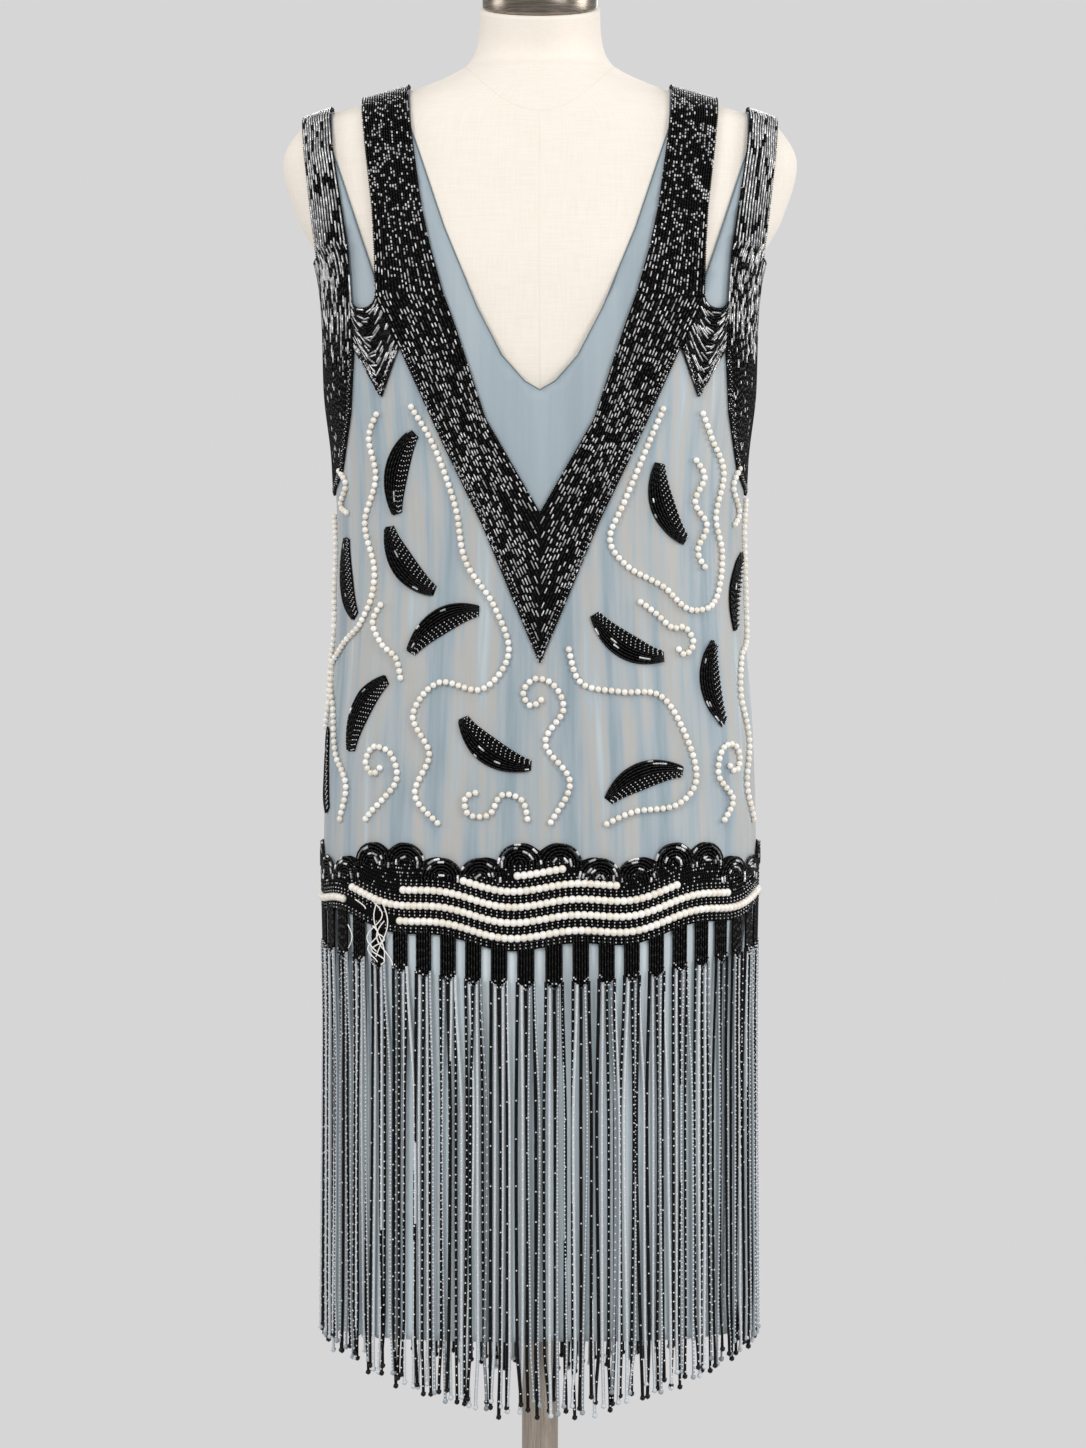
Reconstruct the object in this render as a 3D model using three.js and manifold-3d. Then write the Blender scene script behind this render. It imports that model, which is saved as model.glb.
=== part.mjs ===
// A sleeveless beaded shift dress with a fringed hem, on a limbless linen dress form with a pole and a base.
// Millimetres, +Z up, the front faces -Y. The origin is on the floor under the middle of the base.

import * as THREE from 'three';
import { mergeVertices } from 'three/addons/utils/BufferGeometryUtils.js';
import Module from 'manifold-3d';

const wasm = await Module();
wasm.setup();

// Layers of cloth and beadwork, measured outwards from the slip's inner face.
const LAYERS = {
  slip: { inner: 0, outer: 1.2 },
  dress: { inner: 1.5, outer: 2.7 },
  yoke: { inner: 3.0, outer: 5.4 },
  band: { inner: 3.0, outer: 5.6 },
  fringe: { inner: 3.0, outer: 5.4 },
  applique: { inner: 1.9, outer: 5.0 },
  cutter: { inner: -12, outer: 16 },
};
const SEAM_GAP = 0.3;
const QUARTER_COLUMNS = 8;
const RING_STEP = 120;
const CUT_REACH = 320;
const CUT_MARGIN = 10;
const WALL_MARGIN = 2;
const MERGE_REACH = 1e-4;
const NORMAL_TURN = 0.02;
const NORMAL_RISE = 0.5;

// The figure's rings from hem to neck: half width, depth before and behind the shoulder line, squareness,
// space between cloth and form, forward lean of the ring's middle, and drop of its front edge.
const SECTION_COLUMNS = ['height', 'half', 'front', 'back', 'square', 'clear', 'lean', 'drop'];
const SECTIONS = table(SECTION_COLUMNS, [
  [415, 168, 116, 118, 2.5, 12, 0, 0],
  [640, 167.5, 116, 118, 2.5, 12, 0, 0],
  [800, 170, 117, 119, 2.45, 12, 0, 0],
  [880, 167.5, 117, 114, 2.4, 12, 0, 0],
  [960, 162, 117.5, 106, 2.35, 14, 0, 0],
  [1040, 159.5, 119, 101, 2.3, 14, 0, 0],
  [1100, 161.5, 120, 102, 2.3, 10, 0, 0],
  [1160, 168, 118, 104, 2.3, 6, 0, 0],
  [1210, 169.5, 113, 106.5, 2.25, 4, 0, 0],
  [1240, 172, 109.5, 108, 2.2, 1.5, 0, 0],
  [1262, 176.5, 106.5, 108, 2.15, 0.5, 0, 0],
  [1296, 194, 100, 107, 2.1, 0.5, 0, 0],
  [1340, 206, 91.5, 102, 2, 0.5, 0, 0],
  [1370, 190.5, 83.5, 94.5, 2, 0.5, 0, 0],
  [1386, 146, 78, 87, 2, 0.5, 0, 0],
  [1398, 104, 72.5, 79.5, 2, 0.5, 0, 0],
  [1412, 70, 63.5, 67.5, 2, 0.5, 0, 0],
  [1420, 58.5, 57.5, 59.5, 2, 0.5, 0, 3],
  [1432, 51.5, 51.5, 52, 2, 0.5, 3, 8],
  [1446, 49, 49, 49, 2, 0.5, 7, 12],
  [1463, 48.4, 48.4, 48.4, 2, 0.5, 12, 14],
]);

// Soft vertical troughs in the hanging cloth: place round the figure (0 centre front, 1 side seam,
// 2 centre back, minus to the wearer's right), depth, half width in the same measure, lower and upper end.
const FOLD_COLUMNS = ['place', 'depth', 'spread', 'low', 'high'];
const FOLDS = table(FOLD_COLUMNS, [
  [-1.75, 3, 0.2, 300, 1020],
  [-1.3, 4, 0.2, 300, 760],
  [-0.7, 4, 0.2, 300, 760],
  [-0.4, 3, 0.2, 790, 1060],
  [0.1, 3.5, 0.2, 300, 740],
  [0.4, 2.5, 0.2, 790, 1010],
  [0.8, 4, 0.2, 300, 760],
  [1.4, 4, 0.2, 300, 770],
  [1.7, 3, 0.2, 780, 1040],
]);
const FOLD_FADE = 60;

// Edges of the beaded yoke seen from the front, from the middle line outwards.
const STRAP_COLUMNS = ['height', 'neckEdge', 'slotInner', 'slotOuter', 'armEdge'];
const STRAP_EDGES = table(STRAP_COLUMNS, [
  [1440, 108, 144, 170, 192],
  [1392, 106, 143, 169, 191],
  [1346, 100, 138, 164, 187],
  [1296, 93, 132, 156, 181],
  [1264, 86, 130, 151, 177],
  [1228, 76, 129, 149, 230],
]);
const EDGE_COLUMNS = ['height', 'x'];
const V_INNER = table(EDGE_COLUMNS, [[1202, 66.5], [1129, 42.5], [1056, 0]]);
const V_OUTER = table(EDGE_COLUMNS, [[1186, 110], [1111, 76], [1047, 45], [976, 15.5], [940, 0]]);
const CHEVRON_TIP = { x: 124, height: 1147 };
const SIDE_BAND = table(EDGE_COLUMNS, [[1050, 178], [1091, 156], [1137, 148.5], [1187, 146]]);
const SLOT_STEPS = 4;

// The slip's V neck and the narrow slot beside its inner straps.
const SLIP_NECK = table(EDGE_COLUMNS, [
  [1151, 0],
  [1158, 12],
  [1178, 29.5],
  [1216, 49],
  [1280, 75],
  [1360, 101.5],
  [1440, 106],
]);
const SLIP_SLOT = table(EDGE_COLUMNS, [
  [1440, 137],
  [1394, 136],
  [1300, 128],
  [1234, 127],
  [1346, 164],
  [1440, 167],
]);
const SLIP_ARM = table(EDGE_COLUMNS, [[1440, 189], [1371, 188], [1264, 175], [1236, 230]]);
const HEM_HEIGHT = 415;

// The over dress is tucked under the yoke above and under the hem band below.
const DRESS_TOP = table(EDGE_COLUMNS, [[1000, 0], [1125, 70], [1208, 112], [1208, 230]]);
const DRESS_BOTTOM = 770;
const CLOTH_TOP = 1403;

// Hem band: its top waves and is scalloped, and its bottom hangs lower in the middle and waves less.
const BAND = {
  top: 791,
  topWave: 8,
  topWaves: 4,
  scallopRise: 8,
  bottom: 756,
  bottomDip: 30,
  bottomWave: 3,
  bottomWaves: 5,
};
const SCALLOPS_PER_HALF = 16;
const SCALLOP_COLUMNS = 6;

// Fringe: tabs on a narrow strip, four bead strands to a tab, which hang evenly at their ends.
const TABS_PER_HALF = 24;
const STRANDS_PER_TAB = 4;
const FRINGE_COLUMNS = 2 * TABS_PER_HALF;
const STRIP_HEIGHT = 6;
const TAB = { width: 0.64, side: 714, dip: 26, point: 6 };
const STRAND = { width: 2.4, side: 413, dip: 50, uneven: 5, unevenTurn: 2.4 };

// Raised black crescents on the over dress: place along the cloth from centre front, height, and turn.
const CRESCENT_COLUMNS = ['along', 'height', 'turn'];
const CRESCENTS = table(CRESCENT_COLUMNS, [
  [-119, 1090, 74],
  [-114, 1016, 128],
  [-178, 1006, 105],
  [-82, 972, 30],
  [-148, 904, 60],
  [-204, 856, 95],
  [-38, 872, 145],
  [102, 1062, 112],
  [182, 1000, 68],
  [68, 954, 150],
  [141, 924, 95],
  [78, 853, 20],
]);
const CRESCENT = { length: 66, width: 19, tip: 7, radius: 62, stations: 4 };

// The stand.
const TORSO_BOTTOM = 745;
const CAP = { radius: 46, side: 16, dome: 7, round: 3, crownReach: 0.5, crownRise: 0.7 };
const POLE_RADIUS = 14.4;
const BASE = { radius: 212, rim: 12, edge: 3, cone: 22, hubRadius: 27, hubHeight: 46 };
const ROUND_SIDES = 32;

const COLOURS = {
  slip: { color: 0x9db0bc, roughness: 0.55, metalness: 0 },
  chiffon: { color: 0xa9b8c0, roughness: 0.6, metalness: 0 },
  beads: { color: 0x17130f, roughness: 0.2, metalness: 0 },
  strands: { color: 0x26241f, roughness: 0.25, metalness: 0 },
  linen: { color: 0xeae3d6, roughness: 0.9, metalness: 0 },
  steel: { color: 0xb9b6b2, roughness: 0.3, metalness: 1 },
  nickel: { color: 0xb8ada0, roughness: 0.25, metalness: 1 },
};

function table(columns, rows) {
  return rows.map((row) => Object.fromEntries(columns.map((name, index) => [name, row[index]])));
}

// Slope of one column at a row, level at its highs and lows so that the curve never swings past them.
function rowSlope(index, column) {
  const here = SECTIONS[index];
  const before = SECTIONS[Math.max(index - 1, 0)];
  const after = SECTIONS[Math.min(index + 1, SECTIONS.length - 1)];
  if (before === here || after === here) {
    return (after[column] - before[column]) / (after.height - before.height);
  }
  const below = (here[column] - before[column]) / (here.height - before.height);
  const above = (after[column] - here[column]) / (after.height - here.height);
  return below * above > 0 ? (2 * below * above) / (below + above) : 0;
}

function sectionAt(height) {
  let index = 0;
  while (index < SECTIONS.length - 2 && height > SECTIONS[index + 1].height) {
    index += 1;
  }
  const low = SECTIONS[index];
  const high = SECTIONS[index + 1];
  const span = high.height - low.height;
  const t = THREE.MathUtils.clamp((height - low.height) / span, 0, 1);
  const section = {};
  for (const column of SECTION_COLUMNS.slice(1)) {
    const start = low[column] * (1 + 2 * t) * (1 - t) ** 2;
    const end = high[column] * t * t * (3 - 2 * t);
    const leave = rowSlope(index, column) * span * t * (1 - t) ** 2;
    const arrive = rowSlope(index + 1, column) * span * t * t * (t - 1);
    section[column] = start + end + leave + arrive;
  }
  return section;
}

function signedPower(value, power) {
  return Math.sign(value) * Math.abs(value) ** power;
}

// A point of the slip's inner face, at an angle from centre front.
function figurePoint(angle, height) {
  const section = sectionAt(height);
  const power = 2 / section.square;
  const forward = Math.cos(angle);
  const depth = forward > 0 ? section.front : section.back;
  return new THREE.Vector3(
    section.half * signedPower(Math.sin(angle), power),
    -section.lean - depth * signedPower(forward, power),
    height - section.drop * forward,
  );
}

function figureNormal(angle, height) {
  const around = figurePoint(angle + NORMAL_TURN, height).sub(figurePoint(angle - NORMAL_TURN, height));
  const upward = figurePoint(angle, height + NORMAL_RISE).sub(figurePoint(angle, height - NORMAL_RISE));
  return around.cross(upward).normalize();
}

// Places round the figure: 0 centre front, 1 and -1 the side seams, 2 centre back, even along the cloth.
const MEASURE_HEIGHT = 900;
const MEASURE_STEPS = 400;
const quarters = [0, 1].map((quarter) => {
  const angles = [];
  const lengths = [];
  let last = null;
  for (let step = 0; step <= MEASURE_STEPS; step += 1) {
    const angle = ((quarter + step / MEASURE_STEPS) * Math.PI) / 2;
    const point = figurePoint(angle, MEASURE_HEIGHT);
    lengths.push(last ? lengths[step - 1] + point.distanceTo(last) : 0);
    angles.push(angle);
    last = point;
  }
  return { angles, lengths, total: lengths[MEASURE_STEPS] };
});

function angleAt(place) {
  const reach = Math.min(Math.abs(place), 2);
  const quarter = quarters[reach > 1 ? 1 : 0];
  const wanted = (reach > 1 ? reach - 1 : reach) * quarter.total;
  let step = 1;
  while (step < MEASURE_STEPS && quarter.lengths[step] < wanted) {
    step += 1;
  }
  const low = quarter.lengths[step - 1];
  const t = (wanted - low) / (quarter.lengths[step] - low);
  return Math.sign(place) * THREE.MathUtils.lerp(quarter.angles[step - 1], quarter.angles[step], t);
}

function smooth(value) {
  return THREE.MathUtils.smoothstep(value, 0, 1);
}

function foldDepth(place, height) {
  let depth = 0;
  for (const fold of FOLDS) {
    const apart = Math.abs(place - fold.place);
    const near = smooth(1 - Math.min(apart, 4 - apart) / fold.spread);
    const lift = smooth((height - fold.low) / FOLD_FADE) * smooth((fold.high - height) / FOLD_FADE);
    depth += fold.depth * near * lift;
  }
  return depth;
}

function clothPoint(place, height, offset, folded) {
  const angle = angleAt(place);
  const out = offset - (folded ? foldDepth(place, height) : 0);
  return figurePoint(angle, height).addScaledVector(figureNormal(angle, height), out);
}

// Closed mesh of a sheet: a grid of points outside, one inside, and rims between them.
// A ring of columns closes on itself; a strip has two ends.
function sheetMesh(outside, inside, ring) {
  const columns = outside.length;
  const rows = outside[0].length;
  const points = [...outside.flat(), ...inside.flat()];
  const half = columns * rows;
  const triangles = [];
  const quad = (a, b, c, d) => triangles.push(a, b, c, a, c, d);
  const at = (column, row, side) => side * half + (column % columns) * rows + row;
  const spans = ring ? columns : columns - 1;
  for (let column = 0; column < spans; column += 1) {
    for (let row = 0; row < rows - 1; row += 1) {
      quad(at(column, row, 0), at(column + 1, row, 0), at(column + 1, row + 1, 0), at(column, row + 1, 0));
      quad(at(column, row, 1), at(column, row + 1, 1), at(column + 1, row + 1, 1), at(column + 1, row, 1));
    }
    const top = rows - 1;
    quad(at(column, 0, 1), at(column + 1, 0, 1), at(column + 1, 0, 0), at(column, 0, 0));
    quad(at(column, top, 0), at(column + 1, top, 0), at(column + 1, top, 1), at(column, top, 1));
  }
  if (!ring) {
    const end = columns - 1;
    for (let row = 0; row < rows - 1; row += 1) {
      quad(at(0, row, 1), at(0, row, 0), at(0, row + 1, 0), at(0, row + 1, 1));
      quad(at(end, row, 0), at(end, row, 1), at(end, row + 1, 1), at(end, row + 1, 0));
    }
  }
  return meshOf(points, triangles);
}

function solidOf(geometry) {
  const bare = geometry.clone();
  bare.deleteAttribute('normal');
  bare.deleteAttribute('uv');
  const merged = mergeVertices(bare, MERGE_REACH);
  const index = merged.index.array;
  const kept = [];
  for (let corner = 0; corner < index.length; corner += 3) {
    const [a, b, c] = index.slice(corner, corner + 3);
    if (a !== b && b !== c && c !== a) {
      kept.push(a, b, c);
    }
  }
  return new wasm.Manifold(new wasm.Mesh({
    numProp: 3,
    vertProperties: new Float32Array(merged.attributes.position.array),
    triVerts: new Uint32Array(kept),
  }));
}

function geometryOf(solid) {
  const mesh = solid.getMesh();
  const geometry = new THREE.BufferGeometry();
  geometry.setAttribute('position', new THREE.Float32BufferAttribute(mesh.vertProperties, 3));
  geometry.setIndex([...mesh.triVerts]);
  return geometry;
}

function ringHeights(low, high) {
  const between = SECTIONS.map((row) => row.height).filter((height) => height > low && height < high);
  const stops = [low, ...between, high];
  const heights = [];
  for (let stop = 0; stop < stops.length - 1; stop += 1) {
    const span = stops[stop + 1] - stops[stop];
    const count = Math.ceil(span / RING_STEP);
    for (let part = 0; part < count; part += 1) {
      heights.push(stops[stop] + (span * part) / count);
    }
  }
  heights.push(high);
  return heights;
}

const RING_PLACES = Array.from({ length: 4 * QUARTER_COLUMNS }, (_, column) => column / QUARTER_COLUMNS - 2);

function tubeWall(low, high, layer, folded) {
  const heights = ringHeights(low, high);
  const face = (offset) => RING_PLACES.map((place) => (
    heights.map((height) => clothPoint(place, height, offset, folded))
  ));
  return solidOf(sheetMesh(face(layer.outer), face(layer.inner), true));
}

// A block with an outline seen from the front, reaching from the side seams forwards or backwards.
function outlineBlock(rightHalf, forwards) {
  const left = rightHalf.filter((point) => point.x > 0).map((point) => new THREE.Vector2(-point.x, point.y));
  const shape = new THREE.Shape([...rightHalf, ...left.reverse()]);
  const geometry = new THREE.ExtrudeGeometry(shape, { depth: CUT_REACH, bevelEnabled: false });
  geometry.rotateX(Math.PI / 2);
  geometry.translate(0, forwards ? -SEAM_GAP / 2 : CUT_REACH + SEAM_GAP / 2, 0);
  return solidOf(geometry);
}

function edgePoints(rows, column = 'x') {
  return rows.map((row) => new THREE.Vector2(row[column], row.height));
}

function yokeOutline() {
  const down = [...STRAP_EDGES];
  const up = [...STRAP_EDGES].reverse();
  const foot = up[0];
  const middle = (foot.slotInner + foot.slotOuter) / 2;
  const radius = (foot.slotOuter - foot.slotInner) / 2;
  const slotCurve = new THREE.EllipseCurve(middle, foot.height, radius, radius, Math.PI, 2 * Math.PI);
  return [
    ...edgePoints([...V_INNER].reverse()),
    ...edgePoints(up, 'neckEdge'),
    ...edgePoints(down.slice(0, -1), 'slotInner'),
    ...slotCurve.getPoints(SLOT_STEPS),
    ...edgePoints(up.slice(1), 'slotOuter'),
    ...edgePoints(down, 'armEdge'),
    new THREE.Vector2(foot.armEdge, SIDE_BAND[0].height),
    ...edgePoints(SIDE_BAND),
    new THREE.Vector2(CHEVRON_TIP.x, CHEVRON_TIP.height),
    ...edgePoints(V_OUTER),
  ];
}

function slipOutline() {
  const wide = SLIP_ARM[SLIP_ARM.length - 1].x;
  const floor = HEM_HEIGHT - CUT_MARGIN;
  return [
    ...edgePoints(SLIP_NECK),
    ...edgePoints(SLIP_SLOT),
    ...edgePoints(SLIP_ARM),
    new THREE.Vector2(wide, floor),
    new THREE.Vector2(0, floor),
  ];
}

function dressOutline() {
  const wide = DRESS_TOP[DRESS_TOP.length - 1].x;
  const floor = DRESS_BOTTOM - CUT_MARGIN;
  return [...edgePoints(DRESS_TOP), new THREE.Vector2(wide, floor), new THREE.Vector2(0, floor)];
}

function fromMiddle(place) {
  return Math.abs(place) > 1 ? 2 - Math.abs(place) : Math.abs(place);
}

// Share of the way from the side seam to the middle of a half: 0 at the seams, 1 in the middle.
function middleShare(place) {
  return Math.cos((fromMiddle(place) * Math.PI) / 2) ** 2;
}

function bandTop(place) {
  const wave = Math.cos(fromMiddle(place) * BAND.topWaves * Math.PI);
  const scallop = Math.abs(Math.sin(((place + 1) * SCALLOPS_PER_HALF * Math.PI) / 2));
  return BAND.top + BAND.topWave * wave + BAND.scallopRise * (scallop - 0.5);
}

function bandBottom(place) {
  const wave = Math.sin(place * BAND.bottomWaves * Math.PI);
  return BAND.bottom - BAND.bottomDip * middleShare(place) + BAND.bottomWave * wave;
}

// Places of a half's columns, from seam to seam, held back from each seam by half the gap.
function halfPlaces(count, forwards) {
  const hold = SEAM_GAP / 2 / quarters[0].total;
  return Array.from({ length: count + 1 }, (_, column) => {
    const place = THREE.MathUtils.clamp((2 * column) / count - 1, -1 + hold, 1 - hold);
    return forwards ? place : place + 2;
  });
}

function roundPlace(place) {
  return place > 2 ? place - 4 : place;
}

// A strip between a lower and an upper edge, each a height that depends on the place.
function stripMesh(places, low, high, layer) {
  const face = (offset) => places.map(roundPlace).map((place) => (
    [low, high].map((edge) => clothPoint(place, edge(place), offset, false))
  ));
  return sheetMesh(face(layer.outer), face(layer.inner), false);
}

// Points and triangles of a plate on the cloth with a closed outline of places and heights.
// An open edge has no wall, where the plate goes on into the next one.
function plateFaces(outline, layer, openEdges = []) {
  const count = outline.length;
  const face = (offset) => outline.map(([place, height]) => (
    clothPoint(roundPlace(place), height, offset, false)
  ));
  const points = [...face(layer.outer), ...face(layer.inner)];
  const flat = outline.map(([place, height]) => new THREE.Vector2(place * quarters[0].total, height));
  const triangles = [];
  for (const [a, b, c] of THREE.ShapeUtils.triangulateShape(flat, [])) {
    triangles.push(a, b, c, count + a, count + c, count + b);
  }
  for (let corner = 0; corner < count; corner += 1) {
    const next = (corner + 1) % count;
    if (!openEdges.includes(corner)) {
      triangles.push(corner, count + corner, count + next, corner, count + next, next);
    }
  }
  return { points, triangles };
}

function meshOf(points, triangles) {
  const geometry = new THREE.BufferGeometry();
  const numbers = points.flatMap((point) => [point.x, point.y, point.z]);
  geometry.setAttribute('position', new THREE.Float32BufferAttribute(numbers, 3));
  geometry.setIndex(triangles);
  return geometry;
}

// A crescent's outline, counter-clockwise, widest in its middle and blunt at both ends.
function crescentOutline({ along, height, turn }, forwards) {
  const outer = [];
  const inner = [];
  const tilt = THREE.MathUtils.degToRad(turn);
  for (let station = 0; station <= CRESCENT.stations; station += 1) {
    const t = station / CRESCENT.stations - 0.5;
    const bend = (t * CRESCENT.length) / CRESCENT.radius;
    const width = CRESCENT.tip + (CRESCENT.width - CRESCENT.tip) * Math.cos(t * Math.PI);
    for (const [edge, side] of [[outer, 1], [inner, -1]]) {
      const reach = CRESCENT.radius + (side * width) / 2;
      const local = new THREE.Vector2(reach * Math.sin(bend), reach * Math.cos(bend) - CRESCENT.radius);
      local.rotateAround(new THREE.Vector2(), tilt);
      const across = (forwards ? along : -along) + local.x;
      edge.push([across / quarters[0].total + (forwards ? 0 : 2), height + local.y]);
    }
  }
  return [...inner, ...outer.reverse()];
}

function tabBottom(place) {
  return TAB.side - TAB.dip * middleShare(place);
}

function strandBottom(place, number) {
  const uneven = STRAND.uneven * Math.sin(number * STRAND.unevenTurn);
  return STRAND.side - STRAND.dip * middleShare(place) + uneven;
}

// One tab with its share of the strip and its strands, as a closed outline of places and heights.
function fringeCell(number, places) {
  const [left, middle, right] = places.slice(2 * number, 2 * number + 3);
  const pitch = 2 / TABS_PER_HALF;
  const reach = (TAB.width * pitch) / 2;
  const half = STRAND.width / 2 / quarters[0].total;
  const low = tabBottom(roundPlace(middle));
  const stripTop = (place) => [place, bandBottom(roundPlace(place)) - SEAM_GAP];
  const stripLow = (place) => [place, stripTop(place)[1] - STRIP_HEIGHT];
  const strands = [];
  for (let strand = 0; strand < STRANDS_PER_TAB; strand += 1) {
    const share = (2 * strand) / (STRANDS_PER_TAB - 1) - 1;
    const root = middle + (reach - half) * share;
    const end = middle + ((STRANDS_PER_TAB - 1) / STRANDS_PER_TAB) * (pitch / 2) * share;
    const rootHeight = (place) => low + TAB.point * Math.abs((place - middle) / reach);
    const endHeight = strandBottom(roundPlace(end), number * STRANDS_PER_TAB + strand);
    strands.push([root - half, rootHeight(root - half)], [end - half, endHeight]);
    strands.push([end + half, endHeight], [root + half, rootHeight(root + half)]);
  }
  return [
    stripTop(left),
    stripLow(left),
    stripLow(middle - reach),
    ...strands,
    stripLow(middle + reach),
    stripLow(right),
    stripTop(right),
    stripTop(middle),
  ];
}

function fringe(forwards) {
  const places = halfPlaces(FRINGE_COLUMNS, forwards);
  const points = [];
  const triangles = [];
  for (let number = 0; number < TABS_PER_HALF; number += 1) {
    const outline = fringeCell(number, places);
    const leftEdge = 0;
    const rightEdge = outline.length - 3;
    const openEdges = [];
    if (number > 0) {
      openEdges.push(leftEdge);
    }
    if (number < TABS_PER_HALF - 1) {
      openEdges.push(rightEdge);
    }
    const cell = plateFaces(outline, LAYERS.fringe, openEdges);
    triangles.push(...cell.triangles.map((corner) => corner + points.length));
    points.push(...cell.points);
  }
  return geometryOf(solidOf(meshOf(points, triangles)));
}

function torso() {
  const heights = ringHeights(TORSO_BOTTOM, SECTIONS[SECTIONS.length - 1].height);
  const rings = heights.map((height) => RING_PLACES.map((place) => (
    clothPoint(place, height, -sectionAt(height).clear, false)
  )));
  const points = rings.flat();
  const columns = RING_PLACES.length;
  const triangles = [];
  for (let ring = 0; ring < rings.length - 1; ring += 1) {
    for (let column = 0; column < columns; column += 1) {
      const next = (column + 1) % columns;
      const a = ring * columns + column;
      const b = ring * columns + next;
      triangles.push(a, b, b + columns, a, b + columns, a + columns);
    }
  }
  for (const [ring, upward] of [[0, false], [rings.length - 1, true]]) {
    const centre = rings[ring].reduce((sum, p) => sum.add(p), new THREE.Vector3()).divideScalar(columns);
    const hub = points.push(centre) - 1;
    for (let column = 0; column < columns; column += 1) {
      const here = ring * columns + column;
      const next = ring * columns + ((column + 1) % columns);
      triangles.push(hub, upward ? here : next, upward ? next : here);
    }
  }
  return meshOf(points, triangles);
}

function lathe(profile) {
  const points = profile.map(([radius, height]) => new THREE.Vector2(radius, height));
  const geometry = new THREE.LatheGeometry(points, ROUND_SIDES);
  geometry.rotateX(Math.PI / 2);
  return geometry;
}

function neckCap() {
  const neck = SECTIONS[SECTIONS.length - 1];
  const geometry = lathe([
    [0, 0],
    [CAP.radius, 0],
    [CAP.radius, CAP.side - CAP.round],
    [CAP.radius - CAP.round, CAP.side],
    [CAP.radius * CAP.crownReach, CAP.side + CAP.dome * CAP.crownRise],
    [0, CAP.side + CAP.dome],
  ]);
  geometry.translate(0, 0, SEAM_GAP);
  geometry.rotateX(Math.atan2(neck.drop, neck.front));
  geometry.translate(0, -neck.lean, neck.height);
  return geometry;
}

const part = new THREE.Group();

function addPiece(name, geometry, finish) {
  const mesh = new THREE.Mesh(geometry, new THREE.MeshStandardMaterial(finish));
  mesh.name = name;
  part.add(mesh);
}

const slipWall = tubeWall(HEM_HEIGHT, CLOTH_TOP, LAYERS.slip, true);
const dressHigh = DRESS_TOP[DRESS_TOP.length - 1].height + WALL_MARGIN;
const dressWall = tubeWall(DRESS_BOTTOM, dressHigh, LAYERS.dress, true);
const appliqueWall = tubeWall(DRESS_BOTTOM, dressHigh, LAYERS.applique, true);
const yokeLow = V_OUTER[V_OUTER.length - 1].height - WALL_MARGIN;
const yokeWall = tubeWall(yokeLow, CLOTH_TOP, LAYERS.yoke, false);

for (const [half, forwards] of [['front', true], ['back', false]]) {
  const slip = slipWall.intersect(outlineBlock(slipOutline(), forwards));
  addPiece(`slip_${half}`, geometryOf(slip), COLOURS.slip);
  let dress = dressWall.intersect(outlineBlock(dressOutline(), forwards));
  for (const crescent of CRESCENTS) {
    const cutter = plateFaces(crescentOutline(crescent, forwards), LAYERS.cutter);
    dress = dress.add(appliqueWall.intersect(solidOf(meshOf(cutter.points, cutter.triangles))));
  }
  addPiece(`dress_${half}`, geometryOf(dress), COLOURS.chiffon);
  const yoke = yokeWall.intersect(outlineBlock(yokeOutline(), forwards));
  addPiece(`yoke_${half}`, geometryOf(yoke), COLOURS.beads);
  const places = halfPlaces(SCALLOPS_PER_HALF * SCALLOP_COLUMNS, forwards);
  addPiece(`hem_band_${half}`, stripMesh(places, bandBottom, bandTop, LAYERS.band), COLOURS.beads);
  addPiece(`fringe_${half}`, fringe(forwards), COLOURS.strands);
}

addPiece('form_torso', torso(), COLOURS.linen);
addPiece('neck_cap', neckCap(), COLOURS.steel);

const poleGeometry = new THREE.CylinderGeometry(
  POLE_RADIUS,
  POLE_RADIUS,
  TORSO_BOTTOM - BASE.hubHeight - 2 * SEAM_GAP,
  ROUND_SIDES,
);
poleGeometry.rotateX(Math.PI / 2);
poleGeometry.translate(0, 0, (TORSO_BOTTOM + BASE.hubHeight) / 2);
addPiece('pole', poleGeometry, COLOURS.nickel);

addPiece('base', lathe([
  [0, 0],
  [BASE.radius - BASE.edge, 0],
  [BASE.radius, BASE.edge],
  [BASE.radius, BASE.rim - BASE.edge],
  [BASE.radius - BASE.edge, BASE.rim],
  [BASE.hubRadius * 2, BASE.cone],
  [BASE.hubRadius, BASE.hubHeight - BASE.edge],
  [BASE.hubRadius - BASE.edge, BASE.hubHeight],
  [0, BASE.hubHeight],
]), COLOURS.nickel);

export default part;
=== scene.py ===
import math

import bmesh
import bpy
import numpy as np
from mathutils.geometry import delaunay_2d_cdt
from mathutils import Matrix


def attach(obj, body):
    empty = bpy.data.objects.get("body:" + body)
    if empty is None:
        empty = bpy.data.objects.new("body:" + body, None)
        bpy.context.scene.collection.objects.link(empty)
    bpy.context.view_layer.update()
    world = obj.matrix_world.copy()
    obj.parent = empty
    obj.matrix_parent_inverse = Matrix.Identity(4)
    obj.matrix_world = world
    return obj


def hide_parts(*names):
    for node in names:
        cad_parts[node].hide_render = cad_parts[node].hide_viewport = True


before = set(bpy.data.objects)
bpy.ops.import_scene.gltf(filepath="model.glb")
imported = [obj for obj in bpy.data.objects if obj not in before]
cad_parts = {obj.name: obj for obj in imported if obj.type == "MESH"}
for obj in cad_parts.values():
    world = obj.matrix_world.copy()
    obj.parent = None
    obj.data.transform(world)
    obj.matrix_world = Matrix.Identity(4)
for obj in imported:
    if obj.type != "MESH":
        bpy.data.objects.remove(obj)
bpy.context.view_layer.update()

MM = 0.001

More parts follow.
